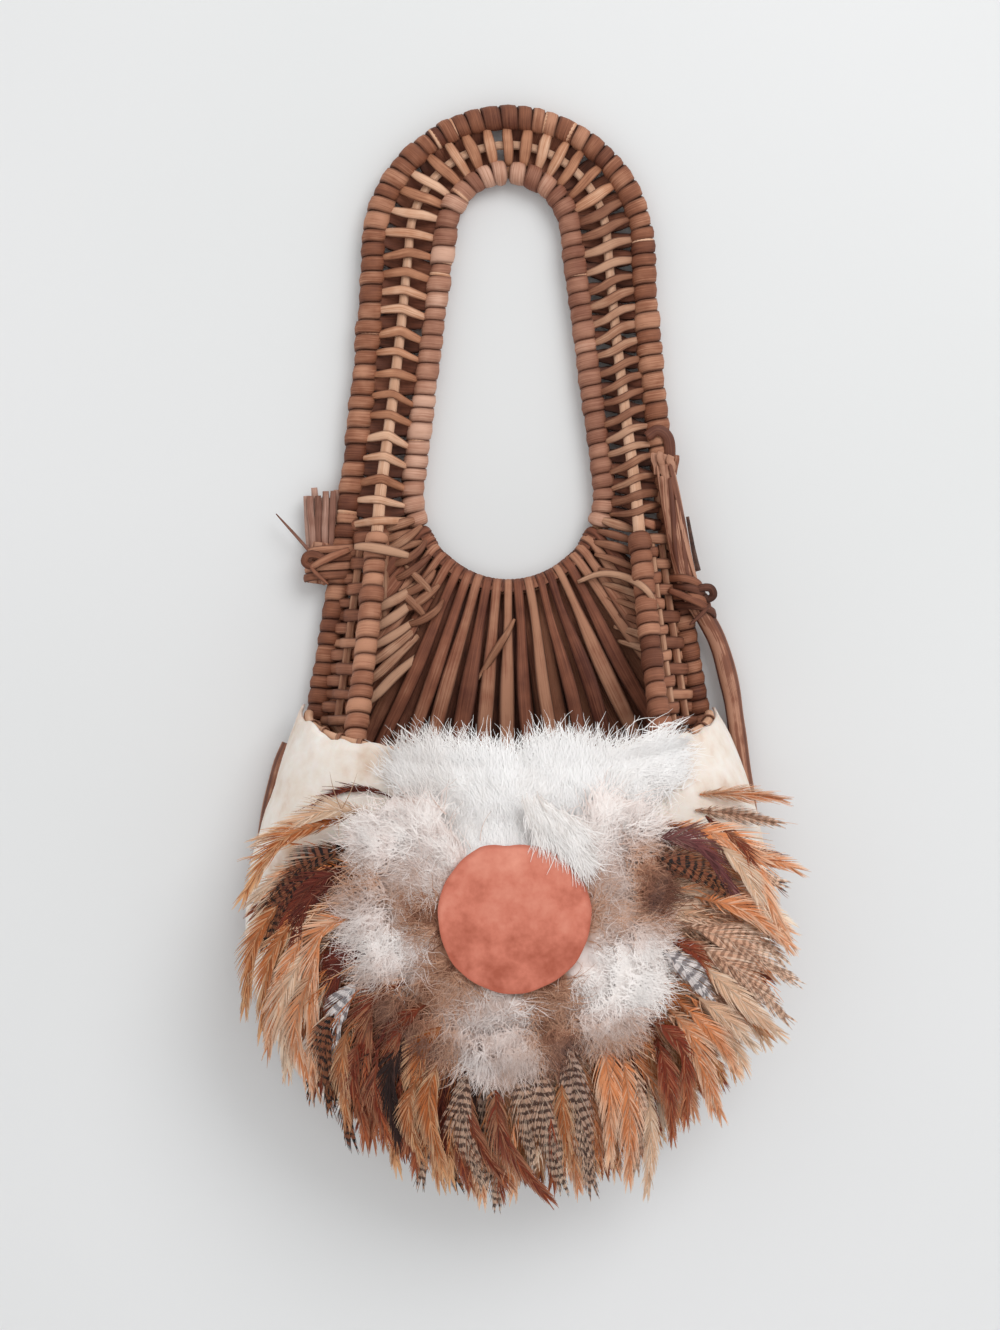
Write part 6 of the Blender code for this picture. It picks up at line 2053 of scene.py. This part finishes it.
class SoftBed:
    """Rounded tufts side by side on a surface, read from fine maps of their height and tone."""

    # The maps' spacing and margin, and how strongly painted shade darkens the creases between tufts and
    # painted light lightens their tops
    pitch = 0.8 * MM
    margin = 26 * MM
    tuft_shade = 0.28

    def __init__(self, base: Callable[[Array, Array], Array], tufts: Array) -> None:
        """Draws the maps.

        Args:
            base: the surface's depth in front of the edge plane, from places aside and heights.
            tufts: rows of a tuft's place aside, height, radius, rise, tone and its hair's way.
        """
        self.tufts = tufts
        spots = tufts[:, :2]
        self.corner = spots.min(axis=0) - self.margin
        extent = spots.max(axis=0) + self.margin - self.corner
        counts = np.ceil(extent / self.pitch).astype(int)
        x, z = np.meshgrid(*(self.corner[k] + self.pitch * np.arange(counts[k]) for k in range(2)),
                           indexing="ij")
        self.rise, self.tones, total = np.zeros_like(x), np.zeros_like(x), np.full_like(x, 1e-9)
        for aside, level, radius, rise, tone, _ in tufts:
            away = ((x - aside) ** 2 + (z - level) ** 2) / radius**2
            self.rise = np.maximum(self.rise, rise * np.maximum(1 - away, 0.0) ** 0.7)
            weight = np.exp(-2.2 * away)
            self.tones += weight * tone
            total += weight
        self.tones /= total
        # Painted shade in the creases between tufts, and painted light on their tops
        self.tones += self.tuft_shade * (self.rise / self.rise.max() - 0.65)
        for _ in range(2):
            self.rise[1:-1, 1:-1] = (self.rise[1:-1, 1:-1] * 2 + self.rise[:-2, 1:-1]
                                     + self.rise[2:, 1:-1] + self.rise[1:-1, :-2]
                                     + self.rise[1:-1, 2:]) / 6
        self.depths = base(x, z) + self.rise
        self.slopes = np.gradient(self.depths, self.pitch)

    def read(self, layer: Array, x: Array, z: Array) -> Array:
        """A map's values at places, between its points."""
        column = np.clip((x - self.corner[0]) / self.pitch, 0, layer.shape[0] - 1.001)
        row = np.clip((z - self.corner[1]) / self.pitch, 0, layer.shape[1] - 1.001)
        i, j = column.astype(int), row.astype(int)
        f, g = column - i, row - j
        return mix(mix(layer[i, j], layer[i + 1, j], f), mix(layer[i, j + 1], layer[i + 1, j + 1], f), g)

    def place(self, x: Array, z: Array, lift: Array, least: float = 0.0) -> Array:
        """Points at a lift over the tufts, and at least so far over the feathers' own surface."""
        depth = self.read(self.depths, x, z) + lift
        if least:
            depth = np.maximum(depth, PLAN.feather_depth(x, z) + least)
        return joined(x, PLAN.edge_plane - depth, z)

    def normal(self, x: Array, z: Array) -> Array:
        """The directions in which the tufts' surface looks."""
        slopes = [np.clip(self.read(slope, x, z), -1.3, 1.3) for slope in self.slopes]
        return unit(joined(-slopes[0], -1.15, -slopes[1]))

    def pad(self, x: Array, z: Array) -> Lattice:
        """The tufts' surface over a grid of places, its columns running so that it looks out."""
        lattice = Lattice(x.shape[1])
        flat = joined(x, z)[None]
        lattice.add(self.place(x, z, 0.0)[None], flat, np.broadcast_to((0.0, 1.0), flat.shape),
                    self.read(self.tones, x, z)[None])
        return lattice

    def hair(self, lattice: Strands, picks: Array, rng: np.random.Generator, length: Array,
             width: float, lift: float, spread: float, least: float = 0.0,
             curl: float = 0.8) -> None:
        """Lays strands along the tufts.

        Args:
            lattice: the strands that they join.
            picks: the tuft that each strand grows from.
            rng: the run of chance.
            length: each strand's length.
            width: their width at the root.
            lift: how high they rise above the tufts.
            spread: how far they stray from their tuft's way.
            least: their least depth over the feathers' own surface.
            curl: how strongly they curl.
        """
        count, rows = len(picks), 6
        chosen = self.tufts[picks]
        t = np.linspace(0, 1, rows)[None]
        root = chosen[:, :2] + rng.normal(0, 0.42, (count, 2)) * chosen[:, 2:3]
        bend, wave, way = rng.normal(0, (curl, curl * 0.6, spread), (count, 3)).T[..., None]
        aim = chosen[:, 5:] + way + bend * (t - 0.3) + wave * np.sin(tau * t)
        step = length[:, None] / (rows - 1)
        x = root[:, :1] + np.cumsum(np.cos(aim) * step, axis=1) - np.cos(aim[:, :1]) * step
        z = root[:, 1:] + np.cumsum(np.sin(aim) * step, axis=1) - np.sin(aim[:, :1]) * step
        height = rng.uniform(0.1, 1.0, (count, 1)) ** 1.5 * lift * (0.15 + np.sin(2.2 * t))
        path = self.place(x, z, height, least)
        look = self.normal(x, z)
        facing = unit(look[:, :1] + rng.normal(0, 0.2, (count, 1, 3)))
        shading = unit(look + rng.normal(0, 0.10, (count, 1, 3)))
        fibre = joined(0.0, t * length[:, None])
        place = joined(0 * x, t)
        tones = self.read(self.tones, root[:, 0], root[:, 1]) + rng.normal(0, 0.045, count)
        lattice.grow(path, facing, width * (1 - 0.75 * t**1.5), fibre, place,
                     np.clip(tones, 0, 1), shading)


@dataclass
class Down(Assembly):
    """Fluffy down between the disc and the feathers, in white, lilac-grey, tan and brown."""

    tufts: int = 190
    strands: int = 19000
    least: float = 7.0 * MM
    rng: np.random.Generator = field(default_factory=lambda: np.random.default_rng(111))
    # How far the down reaches from the disc's centre, by its direction in degrees
    reach: tuple[tuple[float, float], ...] = (
        (-222, 64), (-200, 67), (-180, 64), (-160, 63), (-138, 64), (-115, 61), (-90, 60),
        (-70, 57), (-45, 62), (-22, 58), (0, 54), (20, 64), (45, 66))
    # Patches of colour: place aside and height from the disc's centre, size, tone from 0, a
    # dark grey-brown, by tan and lilac-grey to 1, white
    patches: tuple[tuple[float, float, float, float], ...] = (
        (-44, 31, 15, 0.84), (-58, 38, 10, 0.66), (-44, 14, 8, 0.33), (-56, 16, 8, 0.20),
        (-53, -1, 8, 0.80), (-36, 0, 6, 0.10), (-44, -12, 8, 0.86), (-56, -25, 6, 0.85),
        (-30, -20, 8, 0.34), (-46, -27, 9, 0.22), (-36, -36, 9, 0.14), (-46, -48, 11, 0.05),
        (-29, -48, 9, 0.24), (-23, -28, 7, 0.36), (-14, -46, 12, 0.72), (1, -38, 7, 0.80),
        (0, -57, 8, 0.50), (17, -35, 7, 0.30), (18, -47, 9, 0.08), (15, -60, 8, 0.26),
        (30, -34, 8, 0.82), (41, -21, 14, 0.97), (33, -47, 8, 0.34), (48, -45, 9, 0.30),
        (57, -33, 7, 0.78), (39, -1, 7, 0.34), (35, 12, 7, 0.56), (47, 22, 9, 0.22),
        (54, 12, 9, 0.10), (50, -3, 6, 0.36), (42, 33, 13, 0.88), (60, 32, 9, 0.72))
    fringe: int = 7000
    fringe_least: float = 10.4 * MM
    veil: int = 2600
    veil_least: float = 12.4 * MM

    def build(self) -> None:
        """Makes the bed of down and lays its strands."""
        rng = self.rng
        aside, level = PLAN.disc_centre
        angle = np.radians(rng.uniform(-229, 52, self.tufts))
        away = mix(PLAN.disc_radius, self.edge(angle) - 3 * MM, rng.uniform(0, 1, self.tufts) ** 0.75)
        x, z = aside + away * np.cos(angle), level + away * np.sin(angle)
        way = angle - 0.5 * np.cos(angle) * smooth_step(away, 30 * MM, 70 * MM)
        way = way + rng.normal(0, 0.4, self.tufts)
        tufts = joined(x, z, rng.uniform(6.0, 9.5, self.tufts) * MM,
                       rng.uniform(2.0, 3.6, self.tufts) * MM * smooth_step(away, 0.024, 0.036),
                       self.tone(x - aside, z - level) + rng.normal(0, 0.05, self.tufts), way)
        bed = SoftBed(self.base, tufts)
        share = np.linspace(0, 1, 26)[:, None]
        turn = np.radians(np.linspace(64, -240, 200))[None]
        far = mix(PLAN.disc_radius * 0.7, self.edge(turn) + 1 * MM, share)
        pad = bed.pad(aside + far * np.cos(turn), level + far * np.sin(turn))
        thicken(self.shop.dress("down_bed", pad, DOWN, "down_row"))
        loose, fine = Strands(), Strands()
        picks = rng.integers(0, self.tufts, self.strands)
        bed.hair(loose, picks[::4], rng, rng.uniform(6, 12, len(picks[::4])) * MM, 0.8 * MM,
                 0.7 * MM, 0.6, self.least)
        bed.hair(fine, picks, rng, rng.uniform(7, 15, self.strands) * MM, 0.3 * MM,
                 1.6 * MM, 0.55, self.least)
        outer = np.flatnonzero(away > self.edge(angle) - 14 * MM)
        bed.hair(loose, rng.choice(outer, self.fringe), rng,
                 rng.uniform(7, 16, self.fringe) * MM, 0.3 * MM, 1.6 * MM, 0.55, self.fringe_least)
        rim = np.flatnonzero(away > self.edge(angle) - 9 * MM)
        bed.hair(loose, rng.choice(rim, self.veil), rng, rng.uniform(6, 13, self.veil) * MM,
                 0.26 * MM, 1.4 * MM, 0.5, self.veil_least)
        self.shop.dress("down_loose_strands", loose, DOWN)
        self.shop.dress("down_fine_strands", fine, DOWN)

    def edge(self, angle: Array) -> Array:
        """How far the down reaches in a direction."""
        turns, reach = np.array(self.reach).T
        return np.interp(np.degrees(angle), turns, reach) * MM

    def base(self, x: Array, z: Array) -> Array:
        """The bed's depth: high by the disc, and sinking between the feathers."""
        aside, level = PLAN.disc_centre
        away = np.hypot(x - aside, z - level)
        turn = np.arctan2(z - level, x - aside)
        far = self.edge(np.where(turn > pi / 2, turn - tau, turn))
        high = mix(7.6 * MM, 5.0 * MM, smooth_step(away, 30 * MM, far - 8 * MM))
        high = high * (1 - 0.75 * smooth_step(away, far - 8 * MM, far + 2 * MM))
        under_fur = smooth_step(z - level - 0.45 * np.abs(x - aside), 12 * MM, 24 * MM)
        return PLAN.feather_depth(x, z) + high - 5.5 * MM * under_fur

    def tone(self, x: Array, z: Array) -> Array:
        """The down's tone at places from the disc's centre."""
        places = np.array(self.patches)
        away = np.hypot(x[:, None] - places[:, 0] * MM, z[:, None] - places[:, 1] * MM)
        weight = np.exp(-((away / (places[:, 2] * 0.7 * MM)) ** 2)) + 1e-6
        return (weight * places[:, 3]).sum(axis=1) / weight.sum(axis=1)


@dataclass
class Fur(Assembly):
    """Rabbit fur over the top of the pouch, from above the rim down onto the disc."""

    foot: float = radians(62)
    top: float = radians(44)
    tufts: int = 120
    strands: int = 19600
    over_disc: float = 12.8 * MM
    left_share: float = 0.8
    # How many hairs stand along the rim, and how many hang over the disc in locks
    rim_hairs: int = 2600
    lock_hairs: int = 1300
    rng: np.random.Generator = field(default_factory=lambda: np.random.default_rng(121))

    def far(self, angle: Array) -> Array:
        """The rim's distance from the disc's centre in a direction."""
        aside, level = PLAN.disc_centre
        turns = pi / 2 + self.foot * np.linspace(-1, 1, 41)
        away = np.full_like(turns, PLAN.disc_radius)
        for _ in range(160):
            x, z = aside + away * np.cos(turns), level + away * np.sin(turns)
            away = away + np.where(z < PLAN.rim_at(PLAN.dome_depth(x, z)) + 1 * MM, 0.5 * MM, 0.0)
        return np.interp(angle, turns, away)

    def spot(self, across: Array, up: Array) -> tuple[Array, Array]:
        """A place on the pelt, by its shares across (-1 to 1) and up (0 to 1)."""
        aside, level = PLAN.disc_centre
        angle = pi / 2 - mix(self.foot, self.top, up) * np.where(across < 0, self.left_share, 1) * across
        away = mix(PLAN.disc_radius * 0.9, self.far(angle), up)
        return aside + away * np.cos(angle), level + away * np.sin(angle)

    def base(self, x: Array, z: Array) -> Array:
        """The pelt's depth: the hide's, swelling towards the pelt's middle."""
        aside, level = PLAN.disc_centre
        angle = np.clip(np.arctan2(z - level, x - aside), pi / 2 - self.foot, pi / 2 + self.foot)
        away, far, near = np.hypot(x - aside, z - level), self.far(angle), PLAN.disc_radius * 0.9
        up = (away - near) / (far - near)
        across = (pi / 2 - angle) / mix(self.foot, self.top, np.clip(up, 0, 1))
        across = np.clip(across / np.where(across < 0, self.left_share, 1), -1, 1)
        swell = (np.sin(pi * np.clip(up, 0.05, 0.97)) * np.cos(across * pi / 2.1)) ** 0.6
        held = np.minimum(away, far) / np.maximum(away, 1 * MM)
        depth = PLAN.dome_depth(aside + (x - aside) * held, level + (z - level) * held)
        low = PLAN.feather_depth(x, z) + 8.2 * MM
        depth = mix(low, depth + (1.0 + 4.4 * swell) * MM, smooth_step(up, -0.12, 0.35))
        return np.where(up > 1, depth - (up - 1) * 8 * MM, depth)

    def build(self) -> None:
        """Makes the pelt and lays its hair, a few locks of it over the disc's corner."""
        rng = self.rng
        across, up = rng.uniform(-1, 1, self.tufts), rng.uniform(0, 1.0, self.tufts)
        x, z = self.spot(across, up)
        swirl = 0.8 * np.sin(across * 7 + up * 5) + rng.normal(0, 0.45, self.tufts)
        fall = -pi / 2 + 0.25 + 0.5 * swirl
        lift = pi / 2 - 0.8 * across + 0.5 * swirl
        way = np.where(up + 0.1 * swirl > 0.62, lift, fall)
        tufts = joined(x, z, rng.uniform(7.5, 12.0, self.tufts) * MM,
                       rng.uniform(1.8, 3.4, self.tufts) * MM * np.clip(up * 4, 0.25, 1.0),
                       rng.uniform(0.35, 1.0, self.tufts) - 0.3 * (across < -0.6), way)
        bed = SoftBed(self.base, tufts)
        grid = np.meshgrid(np.linspace(-1, 1, 96), np.linspace(0, 1, 44))
        thicken(self.shop.dress("rabbit_pelt", bed.pad(*self.spot(*grid)), RABBIT, "fur_pad"))
        under, fine = Strands(), Strands()
        picks = rng.integers(0, self.tufts, self.strands)
        low = up[picks] < 0.4
        length = rng.uniform(7, 14, self.strands) * mix(1.0, 0.6, low) * MM
        bed.hair(under, picks[::4], rng, length[::4] * 0.8, 0.8 * MM, 0.8 * MM, 0.4, curl=0.4)
        bed.hair(fine, picks, rng, length, 0.3 * MM, 1.6 * MM, 0.4, curl=0.45)
        high = rng.choice(np.flatnonzero(up > 0.72), self.rim_hairs)
        bed.hair(under, high, rng, rng.uniform(5, 9, self.rim_hairs) * MM, 0.45 * MM, 1.2 * MM, 0.3,
                 curl=0.3)
        self.locks(under, bed)
        self.shop.dress("rabbit_underfur", under, RABBIT)
        self.shop.dress("rabbit_fine_hair", fine, RABBIT)

    def locks(self, lattice: Strands, bed: SoftBed) -> None:
        """Lays the locks that hang over the right of the disc's top."""
        rng, (aside, level) = self.rng, PLAN.disc_centre
        spots = ((7, 43, -1.2), (12, 41, -1.15), (17, 38, -1.1), (22, 35, -1.0), (15, 34, -1.1),
                 (20, 30, -1.05), (23, 26, -1.0), (10, 37, -1.3))
        rows = [(aside + x * MM, level + z * MM, 3.8 * MM, 1 * MM, 0.35, way) for x, z, way in spots]
        own = SoftBed(bed_over_disc(bed, self.over_disc), np.array(rows))
        picks = rng.integers(0, len(rows), self.lock_hairs)
        own.hair(lattice, picks, rng, rng.uniform(7, 15, self.lock_hairs) * MM, 0.4 * MM, 0.9 * MM,
                 0.24, curl=0.35)


def bed_over_disc(bed: SoftBed, over: float) -> Callable[[Array, Array], Array]:
    """A surface like the bed's own, kept clear of the disc's face."""
    return lambda x, z: np.maximum(bed.read(bed.depths, x, z), PLAN.feather_depth(x, z) + over)


@dataclass
class Disc(Assembly):
    """The round leather disc, flat-topped and slightly dished over the down."""

    rings: int = 14
    segments: int = 96
    lift: float = 10.3 * MM
    thickness: float = 2.0 * MM
    flat: float = 0.93

    def build(self) -> None:
        """Cuts the disc by hand: a spun sheet with a wavering edge, then its thickness."""
        aside, level = PLAN.disc_centre
        bm = bmesh.new()
        first = bm.verts.new((0, 0, 0))
        last = first
        edges = []
        for i in range(1, self.rings + 1):
            vert = bm.verts.new((PLAN.disc_radius * (i / self.rings) ** 0.85, 0, 0))
            edges.append(bm.edges.new((last, vert)))
            last = vert
        bmesh.ops.spin(bm, geom=[*bm.verts, *edges], cent=(0, 0, 0), axis=(0, 1, 0), dvec=(0, 0, 0),
                       angle=tau, steps=self.segments, use_merge=True, use_duplicate=False)
        bmesh.ops.remove_doubles(bm, verts=bm.verts, dist=1e-6)
        uv = bm.loops.layers.uv.new("place")
        for vert in bm.verts:
            x, z = vert.co.x, vert.co.z
            angle = np.arctan2(z, x)
            waver = 1 + 0.008 * np.sin(3 * angle + 1) + 0.006 * np.sin(7 * angle) \
                + 0.003 * np.sin(17 * angle)
            top = self.flat * PLAN.disc_radius
            x, z = x * waver, min(z * waver, top + 0.25 * MM * np.sin(x * 600))
            for loop in vert.link_loops:
                radius = np.hypot(x, z) / PLAN.disc_radius
                edge = max(radius, z / top if z > 0 else 0.0)
                loop[uv].uv = (min(edge, 1.0), 0.5 + 0.5 * z / PLAN.disc_radius)
            buckle = 0.35 * MM * np.sin(x * 120 + 1) * np.sin(z * 140)
            depth = PLAN.feather_depth(x + aside, z + level) + self.lift + buckle
            vert.co = (x + aside, PLAN.edge_plane - depth, z + level)
        bmesh.ops.recalc_face_normals(bm, faces=bm.faces)
        if sum(face.normal.y for face in bm.faces) > 0:
            bmesh.ops.reverse_faces(bm, faces=bm.faces)
        mesh = baked(bm, "copper_disc")
        mesh.shade_smooth()
        piece = place_piece("copper_disc", mesh, self.shop.material(SUEDE), SUEDE.slot,
                            "leather_disc")
        thicken(piece, self.thickness, 1.0)
        edge = piece.modifiers.new("soft_edge", "BEVEL")
        edge.width = 0.5 * MM
        edge.segments = 2
        edge.angle_limit = radians(50)


@dataclass
class SingleFeathers(Assembly):
    """The few feathers that lie alone on the rawhide, beside the fur."""

    feathers: Feathers

    def build(self) -> None:
        """Lays an amber and a speckled feather on the right and the dark quill on the left."""
        self.lay("right_rust_plume", Plumage.AMBER, (76.0, -252.5), 2.0, -12.0, 36.0, 4.4,
                 "right_rust_feather")
        self.lay("right_speckled_plume", Plumage.SPECKLED, (74.0, -258.5), -6.0, -16.0, 36.0, 4.0)
        self.lay("left_dark_quill", Plumage.MAHOGANY, (-45.5, -253.0), 152.0, 218.0, 33.0, 1.3,
                 "left_quill_feather")

    def lay(self, name: str, kind: Plumage, root: tuple[float, float], start: float, end: float,
            length: float, half: float, *nodes: str) -> None:
        """Lays one feather on the hide.

        Args:
            name: the piece's name.
            kind: its kind.
            root: its root's place aside and height, in millimetres.
            start: its direction at its root, in degrees.
            end: its direction at its tip.
            length: its length, in millimetres.
            half: its vane's half width, in millimetres.
            nodes: the frame's solids that it stands for.
        """
        lattice = Strands()
        aim = np.radians(np.linspace(start, end, SHAFT_STEPS + 1))
        step = headings(aim) * length / SHAFT_STEPS * MM
        line = np.array(root) * MM + np.vstack((np.zeros((1, 2)), np.cumsum(step[1:], axis=0)))
        foot = float(PLAN.dome_depth(line[0, 0], line[0, 1]))

        def lifted(spots: Array, along: Array, across: Array) -> Array:
            """Flat points just over the hide, running on straight past its edge."""
            x, z = spots[..., 0], spots[..., 1]
            depth = np.maximum(PLAN.dome_depth(x, z), foot * (1 - 0.62 * along))
            return joined(x, PLAN.edge_plane - depth - (1.2 + 1.0 * along) * MM, z)

        self.feathers.vane(lattice, line, aim, length * MM, half * MM, lifted)
        self.feathers.shaft(lattice, line, length * MM, lifted)
        self.feathers.strays(lattice, line, aim, length * MM, lifted)
        self.shop.dress(name, lattice, kind.value, *nodes)


# The studio

@dataclass
class Studio(Assembly):
    """The camera, the pale backdrop and floor, and plain soft light."""

    camera_place: tuple[float, float, float] = (-0.0034, -1.1, -0.201)
    frame_height: float = 0.5586
    sensor: float = 36.0
    wall: float = 1.2 * MM
    world_strength: float = 0.80
    key_power: float = 14.0
    key_place: tuple[float, float, float] = (0.75, -1.5, 0.75)
    key_aim: tuple[float, float, float] = (0.0, 0.0, -0.25)
    key_size: float = 1.2

    def build(self) -> None:
        """Sets up the studio."""
        self.camera()
        self.boards()
        self.light()
        bpy.context.scene.view_settings.view_transform = "Standard"

    def camera(self) -> None:
        """The camera, straight in front, at the photograph's distance."""
        data = bpy.data.cameras.new("studio_camera")
        data.sensor_fit = "VERTICAL"
        data.sensor_height = self.sensor
        data.lens = self.sensor * -self.camera_place[1] / self.frame_height
        camera = bpy.data.objects.new("studio_camera", data)
        camera.location = self.camera_place
        camera.rotation_euler = (pi / 2, 0.0, 0.0)
        bpy.context.scene.collection.objects.link(camera)
        bpy.context.scene.camera = camera

    def boards(self) -> None:
        """The backdrop that the basket hangs on and the floor below it."""
        material = self.shop.material(PaleBoard())
        for name, size, spot, turn in (("backdrop_board", 2.4, (0, self.wall, -0.2), pi / 2),
                                       ("floor_board", 3.0, (0, -1.45, -1.4), 0.0)):
            bm = bmesh.new()
            bmesh.ops.create_grid(bm, x_segments=2, y_segments=2, size=size / 2)
            mesh = baked(bm, name)
            mesh.materials.append(material)
            board = bpy.data.objects.new(name, mesh)
            board.location, board.rotation_euler = spot, (turn, 0, 0)
            bpy.context.scene.collection.objects.link(board)

    def light(self) -> None:
        """An even world and one large soft lamp up to the right."""
        world = bpy.data.worlds.new("studio_world")
        bpy.context.scene.world = world
        world.use_nodes = True
        tree = world.node_tree
        shader = tree.nodes["Background"]
        path = add_node(tree, "ShaderNodeLightPath")
        seen = add_node(tree, "ShaderNodeMath", {"operation": "MULTIPLY_ADD"},
                        {0: path.outputs["Is Camera Ray"], 1: 1 - self.world_strength,
                         2: self.world_strength})
        shader.inputs["Color"].default_value = linear("fffefc")
        tree.links.new(seen.outputs[0], shader.inputs["Strength"])
        data = bpy.data.lights.new("key_lamp", "AREA")
        data.shape, data.size, data.energy = "DISK", self.key_size, self.key_power
        lamp = bpy.data.objects.new("key_lamp", data)
        lamp.location = self.key_place
        aim = mathutils.Vector(np.array(self.key_aim) - self.key_place)
        lamp.rotation_euler = aim.to_track_quat("-Z", "Y").to_euler()
        bpy.context.scene.collection.objects.link(lamp)


def main() -> None:
    """Builds the studio and then the basket, from its frame outwards."""
    logging.basicConfig(level=logging.INFO, format="%(name)s: %(message)s")
    shop, rods = Workshop(), Rods()
    feathers = Feathers(rods, shop)
    makers = (Studio, Handle, Gussets, Fan, Weave, VineHoop, RawhideCover)
    builders = [maker(rods, shop) for maker in makers] + [feathers]
    builders += [maker(rods, shop) for maker in (Down, Fur, Disc)]
    for builder in (*builders, SingleFeathers(rods, shop, feathers)):
        LOG.info("building %s", type(builder).__name__)
        builder.build()
    keep_solid(shop, CORE_CANE, *(f"pouch_rod_{i + 1}" for i in range(5)))


if __name__ == "__main__":
    main()
